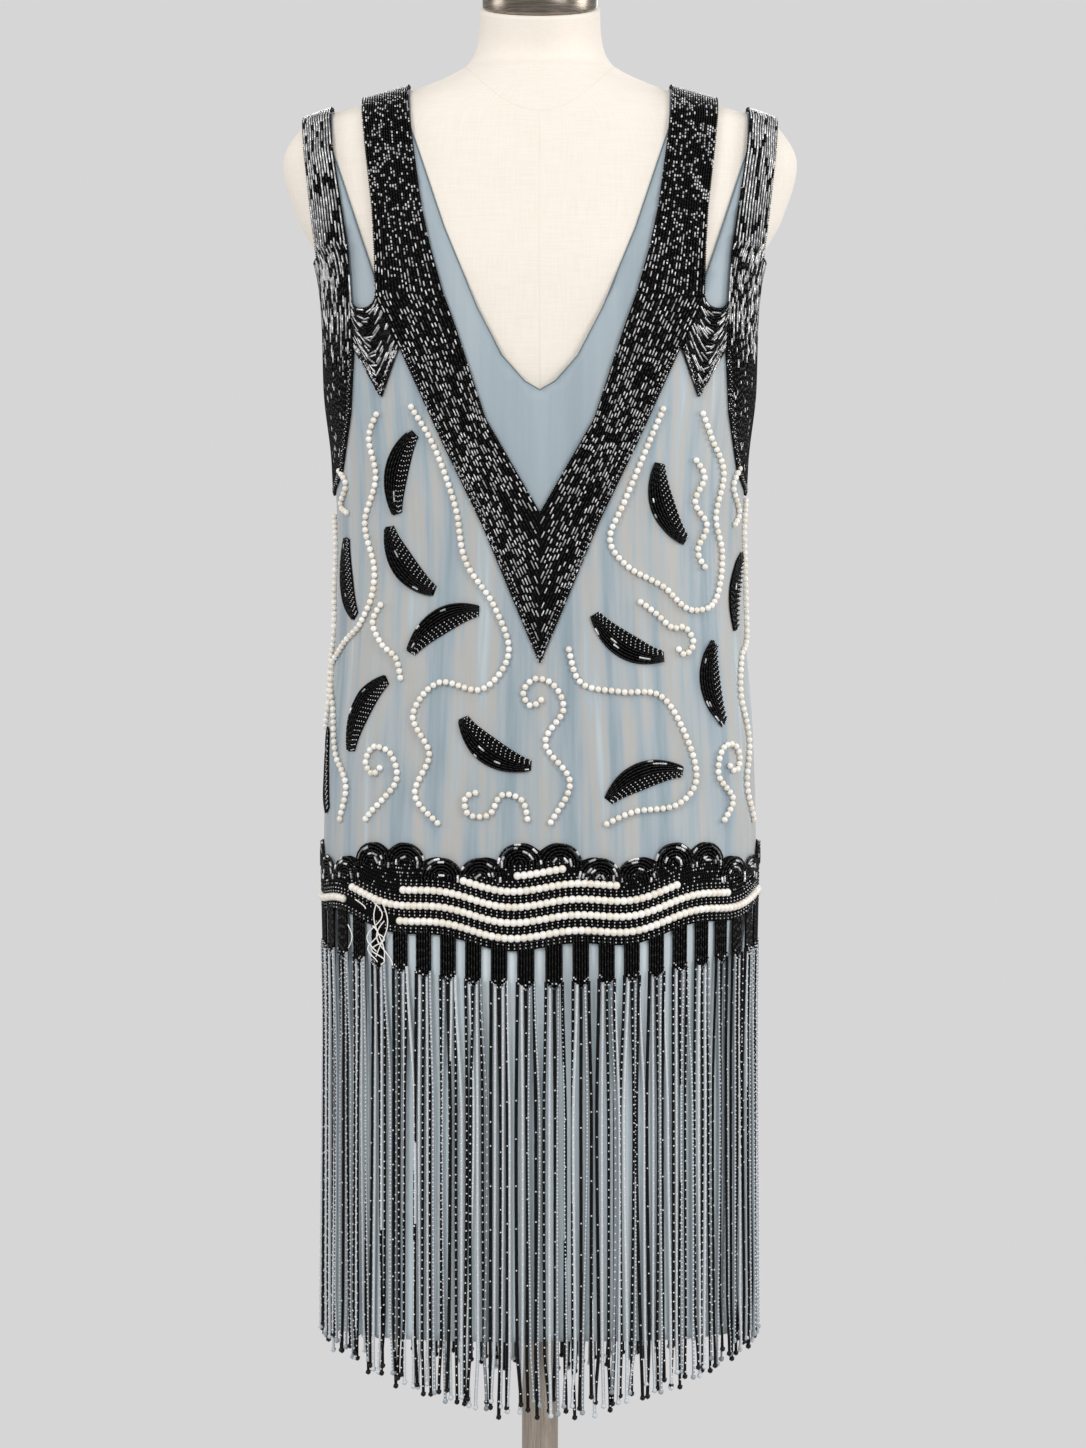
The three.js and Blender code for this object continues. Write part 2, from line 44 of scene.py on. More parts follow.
# Base and pole. A heavy turned steel plate with a low cone and a hub, and a drawn tube that stands on it.
# Both are satin nickel plated, brushed round on the plate and drawn lengthways on the tube.
BASE_RADIUS = 0.212
BASE_RIM = 0.012
CONE_RISE = 0.010
CONE_RADIUS = 0.054
HUB_RADIUS = 0.027
HUB_HEIGHT = 0.046
POLE_RADIUS = 0.0144
SEAM_GAP = 0.0003
TORSO_BOTTOM = 0.745
EDGE_ROUND = 0.0025


def linear(hex_colour):
    """An sRGB hex colour as linear red, green, blue and alpha."""
    channels = [int(hex_colour[i:i + 2], 16) / 255 for i in (1, 3, 5)]
    return (*[c / 12.92 if c <= 0.04045 else ((c + 0.055) / 1.055) ** 2.4 for c in channels], 1.0)


def add_node(material, kind, inputs=None, **settings):
    """Adds a node with its settings, and sets or links its inputs. SHADER means the material's own node."""
    tree = material.node_tree
    node = tree.nodes["Principled BSDF"] if kind == "SHADER" else tree.nodes.new(kind)
    for name, value in settings.items():
        setattr(node, name, value)
    for name, value in (inputs or {}).items():
        if isinstance(value, bpy.types.NodeSocket):
            tree.links.new(value, node.inputs[name])
        else:
            node.inputs[name].default_value = value
    return node


def new_material(name):
    material = bpy.data.materials.new(name)
    material.use_nodes = True
    return material


def set_ramp(ramp, stops):
    """Sets a colour ramp's stops from pairs of place and hex colour."""
    elements = ramp.color_ramp.elements
    while len(elements) < len(stops):
        elements.new(0.5)
    for element, (place, colour) in zip(elements, stops):
        element.position = place
        element.color = linear(colour)


def brushed_metal(name, light, dark, scratch_mm, roughness, stretch):
    """Brushed plate or steel: fine scratches drawn out along the brushing, which blur the reflections."""
    material = new_material(name)
    place = add_node(material, "ShaderNodeTexCoord")
    scratch_scale = 1 / (scratch_mm * MM)
    mapping = add_node(material, "ShaderNodeMapping", {
        "Vector": place.outputs["Object"],
        "Scale": [scratch_scale * s for s in stretch],
    })
    scratches = add_node(material, "ShaderNodeTexNoise", {
        "Vector": mapping.outputs["Vector"], "Scale": 1.0, "Detail": 3.0, "Roughness": 0.6,
    })
    ramp = add_node(material, "ShaderNodeValToRGB", {"Fac": scratches.outputs["Fac"]})
    set_ramp(ramp, [(0.3, dark), (0.7, light)])
    rough = add_node(material, "ShaderNodeMapRange", {
        "Value": scratches.outputs["Fac"], "To Min": roughness - 0.07, "To Max": roughness + 0.1,
    })
    bump = add_node(material, "ShaderNodeBump", {
        "Height": scratches.outputs["Fac"], "Strength": 0.08, "Distance": 0.0002,
    })
    add_node(material, "SHADER", {
        "Base Color": ramp.outputs["Color"],
        "Metallic": 1.0,
        "Roughness": rough.outputs["Result"],
        "Normal": bump.outputs["Normal"],
    })
    return material


def deselect():
    bpy.ops.object.select_all(action="DESELECT")


def pick_faces(piece, test):
    """Selects the faces of the piece in edit mode whose centre and normal pass the test."""
    bpy.ops.object.mode_set(mode="EDIT")
    bpy.ops.mesh.select_mode(type="FACE")
    bpy.ops.mesh.select_all(action="DESELECT")
    bpy.ops.object.mode_set(mode="OBJECT")
    for face in piece.data.polygons:
        face.select = test(face.center + piece.location, face.normal)
    bpy.ops.object.mode_set(mode="EDIT")


def finish_hard(piece, name, material, bevel, segments=3):
    """Rounds a hard piece's edges, puts its place in its mesh, and makes it ride on the one body."""
    bpy.ops.object.mode_set(mode="OBJECT")
    piece.name = name
    edge = piece.modifiers.new("edge", "BEVEL")
    edge.width = bevel
    edge.segments = segments
    edge.limit_method = "ANGLE"
    bpy.ops.object.modifier_apply(modifier="edge")
    bpy.ops.object.transform_apply(location=True, rotation=True, scale=True)
    bpy.ops.object.shade_smooth_by_angle(angle=math.radians(35))
    piece.data.materials.append(material)
    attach(piece, "root")


satin_nickel_plate = brushed_metal("satin nickel plate", "#cfc6ba", "#9d9387", 0.6, 0.30, (1, 1, 0.04))
satin_nickel_tube = brushed_metal("satin nickel tube", "#cbbfb1", "#9a8e81", 0.5, 0.24, (1, 1, 0.02))

deselect()
bpy.ops.mesh.primitive_cylinder_add(
    vertices=128, radius=BASE_RADIUS, depth=BASE_RIM, location=(0, 0, BASE_RIM / 2))
base = bpy.context.object
pick_faces(base, lambda centre, normal: normal.z > 0.9)
bpy.ops.mesh.inset(thickness=BASE_RADIUS - CONE_RADIUS)
bpy.ops.transform.translate(value=(0, 0, CONE_RISE))
bpy.ops.mesh.inset(thickness=CONE_RADIUS - HUB_RADIUS)
bpy.ops.transform.translate(value=(0, 0, CONE_RISE / 2))
bpy.ops.mesh.extrude_region_move(
    TRANSFORM_OT_translate={"value": (0, 0, HUB_HEIGHT - BASE_RIM - 1.5 * CONE_RISE)})
finish_hard(base, "stand_base", satin_nickel_plate, EDGE_ROUND)
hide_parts("base")

pole_low = HUB_HEIGHT + SEAM_GAP
pole_length = TORSO_BOTTOM - SEAM_GAP - pole_low
deselect()
bpy.ops.mesh.primitive_cylinder_add(
    vertices=64, radius=POLE_RADIUS, depth=pole_length, location=(0, 0, pole_low + pole_length / 2))
pole = bpy.context.object
pick_faces(pole, lambda centre, normal: abs(normal.z) > 0.9)
bpy.ops.mesh.inset(thickness=EDGE_ROUND)
finish_hard(pole, "stand_pole", satin_nickel_tube, EDGE_ROUND / 2)
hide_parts("pole")

# Dress form. A limbless moulded torso with a neck and rounded shoulder caps under a tight cream linen cover,
# cut in panels whose seams show as fine raised lines. The same figure, moved out, carries every cloth piece.
SECTION_NAMES = ("half", "front", "back", "square", "clear", "lean", "drop")
SECTIONS = np.array([
    (415, 168, 116, 118, 2.5, 12, 0, 0),
    (640, 167.5, 116, 118, 2.5, 12, 0, 0),
    (800, 170, 117, 119, 2.45, 12, 0, 0),
    (880, 167.5, 117, 114, 2.4, 12, 0, 0),
    (960, 162, 117.5, 106, 2.35, 14, 0, 0),
    (1040, 159.5, 119, 101, 2.3, 14, 0, 0),
    (1100, 161.5, 120, 102, 2.3, 10, 0, 0),
    (1160, 168, 118, 104, 2.3, 6, 0, 0),
    (1210, 169.5, 113, 106.5, 2.25, 4, 0, 0),
    (1240, 172, 109.5, 108, 2.2, 1.5, 0, 0),
    (1262, 176.5, 106.5, 108, 2.15, 0.5, 0, 0),
    (1296, 194, 100, 107, 2.1, 0.5, 0, 0),
    (1340, 206, 91.5, 102, 2, 0.5, 0, 0),
    (1370, 190.5, 83.5, 94.5, 2, 0.5, 0, 0),
    (1386, 146, 78, 87, 2, 0.5, 0, 0),
    (1398, 104, 72.5, 79.5, 2, 0.5, 0, 0),
    (1412, 70, 63.5, 67.5, 2, 0.5, 0, 0),
    (1420, 58.5, 57.5, 59.5, 2, 0.5, 0, 3),
    (1432, 51.5, 51.5, 52, 2, 0.5, 3, 8),
    (1446, 49, 49, 49, 2, 0.5, 7, 12),
    (1463, 48.4, 48.4, 48.4, 2, 0.5, 12, 14),
])
SECTIONS[:, [0, 1, 2, 3, 5, 6, 7]] *= MM
NECK_HEIGHT = SECTIONS[-1, 0]
MEASURE_HEIGHT = 0.9
MEASURE_STEPS = 400


def row_slopes():
    """Each column's slope at each row, level at highs and lows so that the curve never swings past them."""
    rise = np.diff(SECTIONS[:, 1:], axis=0) / np.diff(SECTIONS[:, :1], axis=0)
    slopes = np.vstack([rise[:1], np.zeros_like(rise[1:]), rise[-1:]])
    below, above = rise[:-1], rise[1:]
    same = below * above > 0
    total = np.where(same, below + above, 1)
    slopes[1:-1] = np.where(same, 2 * below * above / total, 0)
    return slopes


SLOPES = row_slopes()


def section_at(height):
    """The figure's measures at each height, by name."""
    heights = SECTIONS[:, 0]
    row = np.clip(np.searchsorted(heights, height) - 1, 0, len(heights) - 2)
    span = (heights[row + 1] - heights[row])[..., None]
    t = np.clip((height - heights[row])[..., None] / span, 0, 1)
    low, high = SECTIONS[row, 1:], SECTIONS[row + 1, 1:]
    leave, arrive = SLOPES[row] * span, SLOPES[row + 1] * span
    values = (low * (1 + 2 * t) * (1 - t) ** 2 + high * t * t * (3 - 2 * t)
              + leave * t * (1 - t) ** 2 + arrive * t * t * (t - 1))
    return {name: values[..., k] for k, name in enumerate(SECTION_NAMES)}


def signed_power(value, power):
    return np.sign(value) * np.abs(value) ** power


def figure_point(angle, height):
    """Points of the slip's inner face, at angles from centre front."""
    s = section_at(height)
    forward = np.cos(angle)
    depth = np.where(forward > 0, s["front"], s["back"])
    power = 2 / s["square"]
    return np.stack([
        s["half"] * signed_power(np.sin(angle), power),
        -s["lean"] - depth * signed_power(forward, power),
        height - s["drop"] * forward,
    ], axis=-1)


def figure_normal(angle, height):
    turn, rise = 0.02, 0.0005
    around = figure_point(angle + turn, height) - figure_point(angle - turn, height)
    upward = figure_point(angle, height + rise) - figure_point(angle, height - rise)
    normal = np.cross(around, upward)
    return normal / np.linalg.norm(normal, axis=-1, keepdims=True)


def quarter_lengths(quarter):
    """Angles of a quarter ring and the length along it, from centre front or from the side seam."""
    angles = (quarter + np.arange(MEASURE_STEPS + 1) / MEASURE_STEPS) * math.pi / 2
    points = figure_point(angles, np.full_like(angles, MEASURE_HEIGHT))
    steps = np.linalg.norm(np.diff(points, axis=0), axis=1)
    return angles, np.concatenate([[0], np.cumsum(steps)])


QUARTERS = [quarter_lengths(0), quarter_lengths(1)]
QUARTER = QUARTERS[0][1][-1]


def angle_at(place):
    """Places round the figure as angles: 0 centre front, 1 and -1 the side seams, 2 centre back."""
    place = (np.asarray(place, float) + 2) % 4 - 2
    reach = np.abs(place)
    angle = np.where(
        reach <= 1,
        np.interp(reach * QUARTERS[0][1][-1], QUARTERS[0][1], QUARTERS[0][0]),
        np.interp((reach - 1) * QUARTERS[1][1][-1], QUARTERS[1][1], QUARTERS[1][0]))
    return np.sign(place) * angle


def cloth_points(place, height, offset):
    """Points and normals of the cloth at places round the figure, moved out from the slip's inner face."""
    angle = angle_at(place)
    height = np.broadcast_to(np.asarray(height, float), np.shape(angle)).copy()
    normal = figure_normal(angle, height)
    return figure_point(angle, height) + normal * np.asarray(offset)[..., None], normal


def mesh_piece(name, points, faces, material, flat_uv=None, smooth=True):
    """A new object from arrays of points and of faces, at the origin, with its flat cut as UV map."""
    mesh = bpy.data.meshes.new(name)
    mesh.from_pydata(np.asarray(points).tolist(), [], np.asarray(faces).tolist())
    if flat_uv is not None:
        corners = np.empty(len(mesh.loops), np.int32)
        mesh.loops.foreach_get("vertex_index", corners)
        layer = mesh.uv_layers.new(name="cut")
        layer.data.foreach_set("uv", np.asarray(flat_uv, np.float32)[corners].ravel())
    mesh.polygons.foreach_set("use_smooth", np.full(len(mesh.polygons), smooth))
    mesh.materials.append(material)
    piece = bpy.data.objects.new(name, mesh)
    bpy.context.collection.objects.link(piece)
    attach(piece, "root")
    return piece


def tube_mesh(path, normals, radius, sides=6):
    """Points and quads of a thin closed tube along a path of points."""
    path = np.asarray(path)
    along = np.gradient(path, axis=0)
    along /= np.linalg.norm(along, axis=1, keepdims=True)
    side = np.cross(along, normals)
    side /= np.linalg.norm(side, axis=1, keepdims=True)
    up = np.cross(side, along)
    turn = np.arange(sides) * 2 * math.pi / sides
    ring = np.cos(turn)[None, :, None] * side[:, None] + np.sin(turn)[None, :, None] * up[:, None]
    points = (path[:, None] + radius * ring).reshape(-1, 3)
    step = np.arange(len(path) - 1)[:, None] * sides
    here = step + np.arange(sides)[None]
    after = step + (np.arange(sides)[None] + 1) % sides
    quads = np.stack([here, after, after + sides, here + sides], axis=-1).reshape(-1, 4)
    return points, quads


def join_meshes(parts):
    """Joins pairs of points and faces into one pair."""
    starts = np.cumsum([0] + [len(points) for points, _ in parts[:-1]])
    return (np.concatenate([points for points, _ in parts]),
            np.concatenate([faces + start for (_, faces), start in zip(parts, starts)]))


def linen_cover():
    """Cream linen: slubby threads crossing at right angles, matt with a soft nap. The threads are about
    0.7 mm apart, drawn twice as coarse so that they show."""
    material = new_material("cream linen cover")
    thread = 1 / (1.4 * MM)
    uv = add_node(material, "ShaderNodeUVMap", uv_map="cut")
    threads = []
    for stretch in ((1, 0.06, 1), (0.06, 1, 1)):
        mapping = add_node(material, "ShaderNodeMapping", {
            "Vector": uv.outputs["UV"], "Scale": [thread * s for s in stretch]})
        noise = add_node(material, "ShaderNodeTexNoise", {
            "Vector": mapping.outputs["Vector"], "Scale": 1.0, "Detail": 2.0})
        threads.append(noise.outputs["Fac"])
    weave = add_node(material, "ShaderNodeMath", operation="ADD")
    material.node_tree.links.new(threads[0], weave.inputs[0])
    material.node_tree.links.new(threads[1], weave.inputs[1])
    half = add_node(material, "ShaderNodeMapRange", {
        "Value": weave.outputs["Value"], "From Min": 0.6, "From Max": 1.4})
    ramp = add_node(material, "ShaderNodeValToRGB", {"Fac": half.outputs["Result"]})
    set_ramp(ramp, [(0.0, "#ebe2d5"), (0.5, "#efe7db"), (1.0, "#f2ebe0")])
    bump = add_node(material, "ShaderNodeBump", {
        "Height": half.outputs["Result"], "Strength": 0.06, "Distance": 0.0003})
    add_node(material, "SHADER", {
        "Base Color": ramp.outputs["Color"], "Roughness": 0.9, "Sheen Weight": 0.15,
        "Sheen Roughness": 0.5, "Specular IOR Level": 0.2, "Normal": bump.outputs["Normal"]})
    return material


linen = linen_cover()
TORSO_COLUMNS = 96
torso_heights = np.concatenate([
    np.linspace(TORSO_BOTTOM, 1.25, 60)[:-1], np.linspace(1.25, 1.36, 30)[:-1],
    np.linspace(1.36, 1.43, 50)[:-1], np.linspace(1.43, NECK_HEIGHT, 12)])
torso_places = np.linspace(-2, 2, TORSO_COLUMNS + 1)
place_grid, height_grid = np.meshgrid(torso_places, torso_heights)
clear_grid = section_at(height_grid)["clear"]
torso_points, _ = cloth_points(place_grid, height_grid, -clear_grid)
rows, columns = place_grid.shape
corner = (np.arange(rows - 1)[:, None] * columns + np.arange(columns - 1)[None]).ravel()
torso_quads = np.stack([corner, corner + 1, corner + columns + 1, corner + columns], axis=1)
torso_uv = np.stack([place_grid * QUARTER, height_grid], axis=-1).reshape(-1, 2)
torso = mesh_piece("form_linen_torso", torso_points.reshape(-1, 3), torso_quads, linen, torso_uv)
deselect()
torso.select_set(True)
bpy.context.view_layer.objects.active = torso
bpy.ops.object.mode_set(mode="EDIT")
bpy.ops.mesh.select_all(action="SELECT")
bpy.ops.mesh.remove_doubles(threshold=0.00005)
bpy.ops.mesh.fill_holes(sides=0)
bpy.ops.object.mode_set(mode="OBJECT")
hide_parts("form_torso")

# Seams of the linen cover. The neck seam dips at centre front, and a fine seam runs down the middle of the
# front and of the back, each stitched as a narrow raised line.
SEAM_RADIUS = 0.0004
SEAM_SINK = -0.0001
NECK_SEAM_HALF = 0.060
NECK_SEAM_SIDE = 1.416
NECK_SEAM_DIP = 0.043


def form_line(angle, height):
    """A seam line on the form's linen, from angles round the form and heights."""
    angle, height = np.broadcast_arrays(np.asarray(angle, float), np.asarray(height, float))
    normals = figure_normal(angle, height)
    sunk = SEAM_SINK - section_at(height)["clear"]
    return tube_mesh(figure_point(angle, height) + normals * sunk[:, None], normals, SEAM_RADIUS)


run = np.linspace(-1, 1, 160)
dip_height = NECK_SEAM_SIDE - NECK_SEAM_DIP * (1 - run ** 2)
dip_section = section_at(dip_height)
dip_angle = np.arcsin(signed_power(run * NECK_SEAM_HALF / dip_section["half"], dip_section["square"] / 2))
nape_angle = np.linspace(dip_angle[-1], 2 * math.pi + dip_angle[0], 160)
middle_heights = np.linspace(TORSO_BOTTOM + 0.01, dip_height.min(), 160)
seam_lines = [
    form_line(dip_angle, dip_height),
    form_line(nape_angle, np.full(160, NECK_SEAM_SIDE)),
    form_line(0, middle_heights),
    form_line(math.pi, np.linspace(middle_heights[0], NECK_SEAM_SIDE, 160))]
linen_thread = new_material("linen seam thread")
add_node(linen_thread, "SHADER", {"Base Color": linear("#ece3d6"), "Roughness": 0.95})
seams = mesh_piece("form_seams", *join_meshes(seam_lines), linen_thread)

# Neck cap. A spun steel cup, brushed round, pressed onto the slanting top of the neck, with a low dome.
CAP_RADIUS = 0.046
CAP_SIDE = 0.016
CAP_DOME = 0.007
neck_lean = SECTIONS[-1, 6]
neck_tilt = math.atan2(SECTIONS[-1, 7], SECTIONS[-1, 2])
deselect()
bpy.ops.mesh.primitive_cylinder_add(
    vertices=96, radius=CAP_RADIUS, depth=CAP_SIDE, location=(0, 0, SEAM_GAP + CAP_SIDE / 2))
cap = bpy.context.object
pick_faces(cap, lambda centre, normal: normal.z > 0.9)
for inset, rise in ((0.018, 0.7), (0.016, 0.25), (0.008, 0.05)):
    bpy.ops.mesh.inset(thickness=inset)
    bpy.ops.transform.translate(value=(0, 0, CAP_DOME * rise))
bpy.ops.object.mode_set(mode="OBJECT")
bpy.ops.object.transform_apply(location=True, rotation=True, scale=True)
cap.rotation_euler = (neck_tilt, 0, 0)
cap.location = (0, -neck_lean, NECK_HEIGHT)
cap_steel = brushed_metal("brushed steel cap", "#a89e92", "#6b6258", 0.5, 0.26, (0.03, 0.03, 1))
finish_hard(cap, "form_neck_cap", cap_steel, EDGE_ROUND)
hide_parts("neck_cap")

# Under slip. Plain blue-grey silk cut as a front and a back with a V neck and slotted straps, sewn at the
# sides and shoulders, its edges bound narrow. It hangs straight from the shoulders to an open hem.
HALVES = (("front", False), ("back", True))
SLIP_OFFSET = 0.0006
SLIP_THICK = 0.0006
HEM_HEIGHT = 0.415
SLIP_NECK = np.array([
    (1151, 0), (1158, 12), (1178, 29.5), (1216, 49), (1280, 75), (1360, 101.5), (1440, 106)]) * MM
SLIP_SLOT_IN = np.array([(1234, 127), (1300, 128), (1394, 136), (1440, 137)]) * MM
SLIP_SLOT_OUT = np.array([(1234, 127), (1346, 164), (1440, 167)]) * MM
SLIP_ARM = np.array([(1236, 230), (1264, 175), (1371, 188), (1440, 189)]) * MM
EDGE_STEP = 0.003
SLIP_STEP = 0.009
BINDING_RADIUS = 0.0007
LEVEL_TOP = 1.412
CUT_TOP = 1.411
LEVEL_STEPS = 1500
BELOW_HEM = 0.06
# The figure's side line measures heights along the cloth, so that the shoulder slope has its true length.
level_heights = np.linspace(SECTIONS[0, 0] - BELOW_HEM, LEVEL_TOP, LEVEL_STEPS)
side_line = figure_point(np.full(level_heights.shape, math.pi / 2), level_heights)
level_lengths = np.concatenate([[0], np.cumsum(np.linalg.norm(np.diff(side_line, axis=0), axis=1))])


def level_of(height):
    return np.interp(height, level_heights, level_lengths)


def height_of(level):
    return np.interp(level, level_lengths, level_heights)


def along_of(x, height, back, offset):
    """Length along the cloth from the middle line to where a point shows at x in the front or back view."""
    s = section_at(np.asarray(height, float))
    share = np.clip(np.abs(x) / (s["half"] + offset), 0, 1)
    angle = np.arcsin(share ** (s["square"] / 2))
    if back:
        reach = 1 - np.interp(math.pi - angle, *QUARTERS[1]) / QUARTERS[1][1][-1]
    else:
        reach = np.interp(angle, *QUARTERS[0]) / QUARTERS[0][1][-1]
    return np.sign(x) * reach * QUARTER


def place_of(along, back):
    return (2 if back else 0) + np.asarray(along) / QUARTER


def edge_run(rows, back, offset):
    """An edge given by rows of height and x, as lengths along and levels up the cloth, cut off where it
    reaches the shoulder or side seam."""
    low, high = level_of(rows[0, 0]), level_of(min(rows[-1, 0], CUT_TOP))
    levels = np.linspace(low, high, max(int(abs(high - low) / EDGE_STEP) * 4, 8))
    heights = height_of(levels)
    x = np.interp(heights, rows[:, 0], rows[:, 1])
    half = section_at(heights)["half"] + offset
    inside = x < half
    along = along_of(x, heights, back, offset)
    first, last = np.flatnonzero(inside)[[0, -1]]
    keep = slice(max(first - 1, 0), last + 2)
    return np.stack([along[keep], levels[keep]], axis=1)


def tidy_loop(points, gap):
    """Drops points of a closed outline that lie closer than the gap to the one before."""
    kept = [points[0]]
    for point in points[1:]:
        if np.hypot(*(point - kept[-1])) >= gap:
            kept.append(point)
    if np.hypot(*(kept[-1] - kept[0])) < gap:
        kept.pop()
    return np.array(kept)


def seam_run(start, end):
    """A straight seam between two outline points, in even steps."""
    count = max(int(np.hypot(*(np.asarray(end) - start)) / EDGE_STEP), 1)
    return np.linspace(start, end, count + 1)


def whole_outline(right_half):
    """The closed outline of a piece from its right half, which runs from the middle line and back to it."""
    left = right_half[::-1] * (-1, 1)
    return tidy_loop(np.concatenate([right_half, left]), EDGE_STEP / 2)


def inside_outline(points, outline):
    x, y = points[:, :1], points[:, 1:]
    ax, ay = outline[:, 0], outline[:, 1]
    bx, by = np.roll(ax, -1), np.roll(ay, -1)
    rise = np.where(by == ay, 1e-12, by - ay)
    crosses = ((ay > y) != (by > y)) & (x < ax + (y - ay) * (bx - ax) / rise)
    return crosses.sum(axis=1) % 2 == 1


def fill_outline(outline, step):
    """Points and triangles that fill a closed outline with an even mesh."""
    low, high = outline.min(axis=0), outline.max(axis=0)
    columns = np.arange(low[0], high[0], step)
    levels = np.arange(low[1], high[1], step * 0.87)
    grid = np.array([(x + (k % 2) * step / 2, y) for k, y in enumerate(levels) for x in columns])
    grid = grid[inside_outline(grid, outline)]
    near = np.concatenate([
        np.hypot(*(part[:, None] - outline[None]).transpose(2, 0, 1)).min(axis=1)
        for part in np.array_split(grid, 40)])
    grid = grid[near > step * 0.5]
    points = np.concatenate([outline, grid])
    count = len(outline)
    edges = [(k, (k + 1) % count) for k in range(count)]
    filled = delaunay_2d_cdt(points.tolist(), edges, [], 1, 1e-7)
    return np.array([tuple(p) for p in filled[0]]), np.array(filled[2])


def smooth_step(value):
    value = np.clip(value, 0, 1)
    return value * value * (3 - 2 * value)


# Folds: place round the figure, depth in mm, half width, and lower and upper end in mm.
FOLD_ROWS = np.array([
    (-1.75, 3, 0.2, 300, 1020), (-1.3, 4, 0.2, 300, 760), (-0.7, 4, 0.2, 300, 760),
    (-0.4, 3, 0.2, 790, 1060), (0.1, 3.5, 0.2, 300, 740), (0.4, 2.5, 0.2, 790, 1010),
    (0.8, 4, 0.2, 300, 760), (1.4, 4, 0.2, 300, 770), (1.7, 3, 0.2, 780, 1040)])
FOLD_FADE = 0.06


def fold_depth(place, height):
    """Depth of the large soft troughs that the hanging cloth has all round."""
    depth = np.zeros(np.shape(place))
    for middle, deep, spread, low, high in FOLD_ROWS:
        apart = np.abs((place - middle + 2) % 4 - 2)
        lift = smooth_step((height - low * MM) / FOLD_FADE) * smooth_step((high * MM - height) / FOLD_FADE)
        depth = depth + deep * MM * smooth_step(1 - apart / spread) * lift
    return depth


def crease_depth(along, height, creases):
    """Depth of narrow creases: rows of length along, lean, lower and upper end, depth and half width."""
    depth = np.zeros(np.shape(along))
    for middle, lean, low, high, deep, wide in creases * MM:
        share = (height - low) / (high - low)
        apart = np.abs(along - middle - lean * (share - 0.5))
        lift = smooth_step(share * 4) * smooth_step((1 - share) * 3)
        depth = depth + deep * smooth_step(1 - apart / wide) * lift
    return depth


def cloth_panel(name, outline, step, back, offset, thick, material, creases=None):
    """A cloth panel filled within its outline, laid on the figure and given thickness. With creases it is a
    soft hanging panel, which has the large folds too."""
    flat, triangles = fill_outline(outline, step)
    along, height = flat[:, 0], height_of(flat[:, 1])
    place = place_of(along, back)
    sunk = np.zeros(len(flat))
    if creases is not None:
        sunk = fold_depth(place, height) + crease_depth(along, height, creases)
    points, _ = cloth_points(place, height, offset - sunk)
    panel = mesh_piece(name, points, triangles, material, flat)
    shell = panel.modifiers.new("thickness", "SOLIDIFY")
    shell.thickness = thick
    shell.offset = 0
    return panel


def woven_silk(name, shades, streak_mm, sheen, roughness, painted_light=None):
    """Fine silk: faint streaks of dye along the warp and a soft sheen. Threads are too fine to show, so a
    coarser grain of about 1 mm stands for them. With painted light it is painted paler between two levels of
    the cut, a painted lift of light that offsets the shade cast on it."""
    material = new_material(name)
    uv = add_node(material, "ShaderNodeUVMap", uv_map="cut")
    streak = 1 / (streak_mm * MM)
    wide = add_node(material, "ShaderNodeMapping", {
        "Vector": uv.outputs["UV"], "Scale": (streak, streak * 0.055, 1)})
    streaks = add_node(material, "ShaderNodeTexNoise", {
        "Vector": wide.outputs["Vector"], "Scale": 1.0, "Detail": 4.0, "Roughness": 0.62})
    ramp = add_node(material, "ShaderNodeValToRGB", {"Fac": streaks.outputs["Fac"]})
    set_ramp(ramp, shades)
    colour = ramp.outputs["Color"]
    # Painted light: between the two levels the colour is multiplied up by the gain, to offset cast shade.
    if painted_light:
        gain, high, low = painted_light
        split = add_node(material, "ShaderNodeSeparateXYZ", {"Vector": uv.outputs["UV"]})
        share = add_node(material, "ShaderNodeMapRange", {
            "Value": split.outputs["Y"], "From Min": high, "From Max": low})
        paler = add_node(material, "ShaderNodeMixRGB", {
            "Fac": share.outputs["Result"], "Color1": colour, "Color2": (*gain, 1)},
            blend_type="MULTIPLY")
        colour = paler.outputs["Color"]
    fine = add_node(material, "ShaderNodeMapping", {
        "Vector": uv.outputs["UV"], "Scale": (1 / (1.0 * MM), 1 / (9 * MM), 1)})
    grain = add_node(material, "ShaderNodeTexNoise", {
        "Vector": fine.outputs["Vector"], "Scale": 1.0, "Detail": 2.0})
    bump = add_node(material, "ShaderNodeBump", {
        "Height": grain.outputs["Fac"], "Strength": 0.12, "Distance": 0.0003})
    add_node(material, "SHADER", {
        "Base Color": colour, "Roughness": roughness, "Sheen Weight": sheen,
        "Sheen Roughness": 0.35, "Specular IOR Level": 0.3, "Normal": bump.outputs["Normal"]})
    return material


def on_cloth(run, back, offset):
    """Points and normals of a run of lengths along and levels up, on the cloth."""
    return cloth_points(place_of(run[:, 0], back), height_of(run[:, 1]), offset)


# Below the band the slip is painted paler, close to twice as light: painted light that offsets the shade
# which the fringe strands cast on it.
SKIRT_LIGHT_GAIN = (1.9, 1.82, 1.76)
SKIRT_LIGHT_LEVELS = (0.80, 0.75)
slip_silk = woven_silk("blue-grey slip silk", [
    (0.25, "#95a3ab"), (0.5, "#a1aeb5"), (0.75, "#acb7bc")], 26, 0.25, 0.5,
    (SKIRT_LIGHT_GAIN, *level_of(np.array(SKIRT_LIGHT_LEVELS)).tolist()))
slip_binding = new_material("slip edge binding")
add_node(slip_binding, "SHADER", {"Base Color": linear("#66757f"), "Roughness": 0.6, "Sheen Weight": 0.2})
SLIP_CREASES = np.array([
    (-38, 6, 1060, 1200, 0.8, 9), (24, -8, 1050, 1180, 0.7, 8), (60, -10, 1150, 1290, 0.7, 7),
    (-150, 10, 420, 720, 1.5, 14), (-95, -8, 420, 730, 1.2, 12), (-30, 6, 420, 700, 1.6, 15),
    (64, -10, 420, 720, 1.4, 13), (128, 8, 420, 730, 1.6, 14), (190, 4, 420, 700, 1.3, 12),
    (-205, -4, 420, 690, 1.2, 12)])
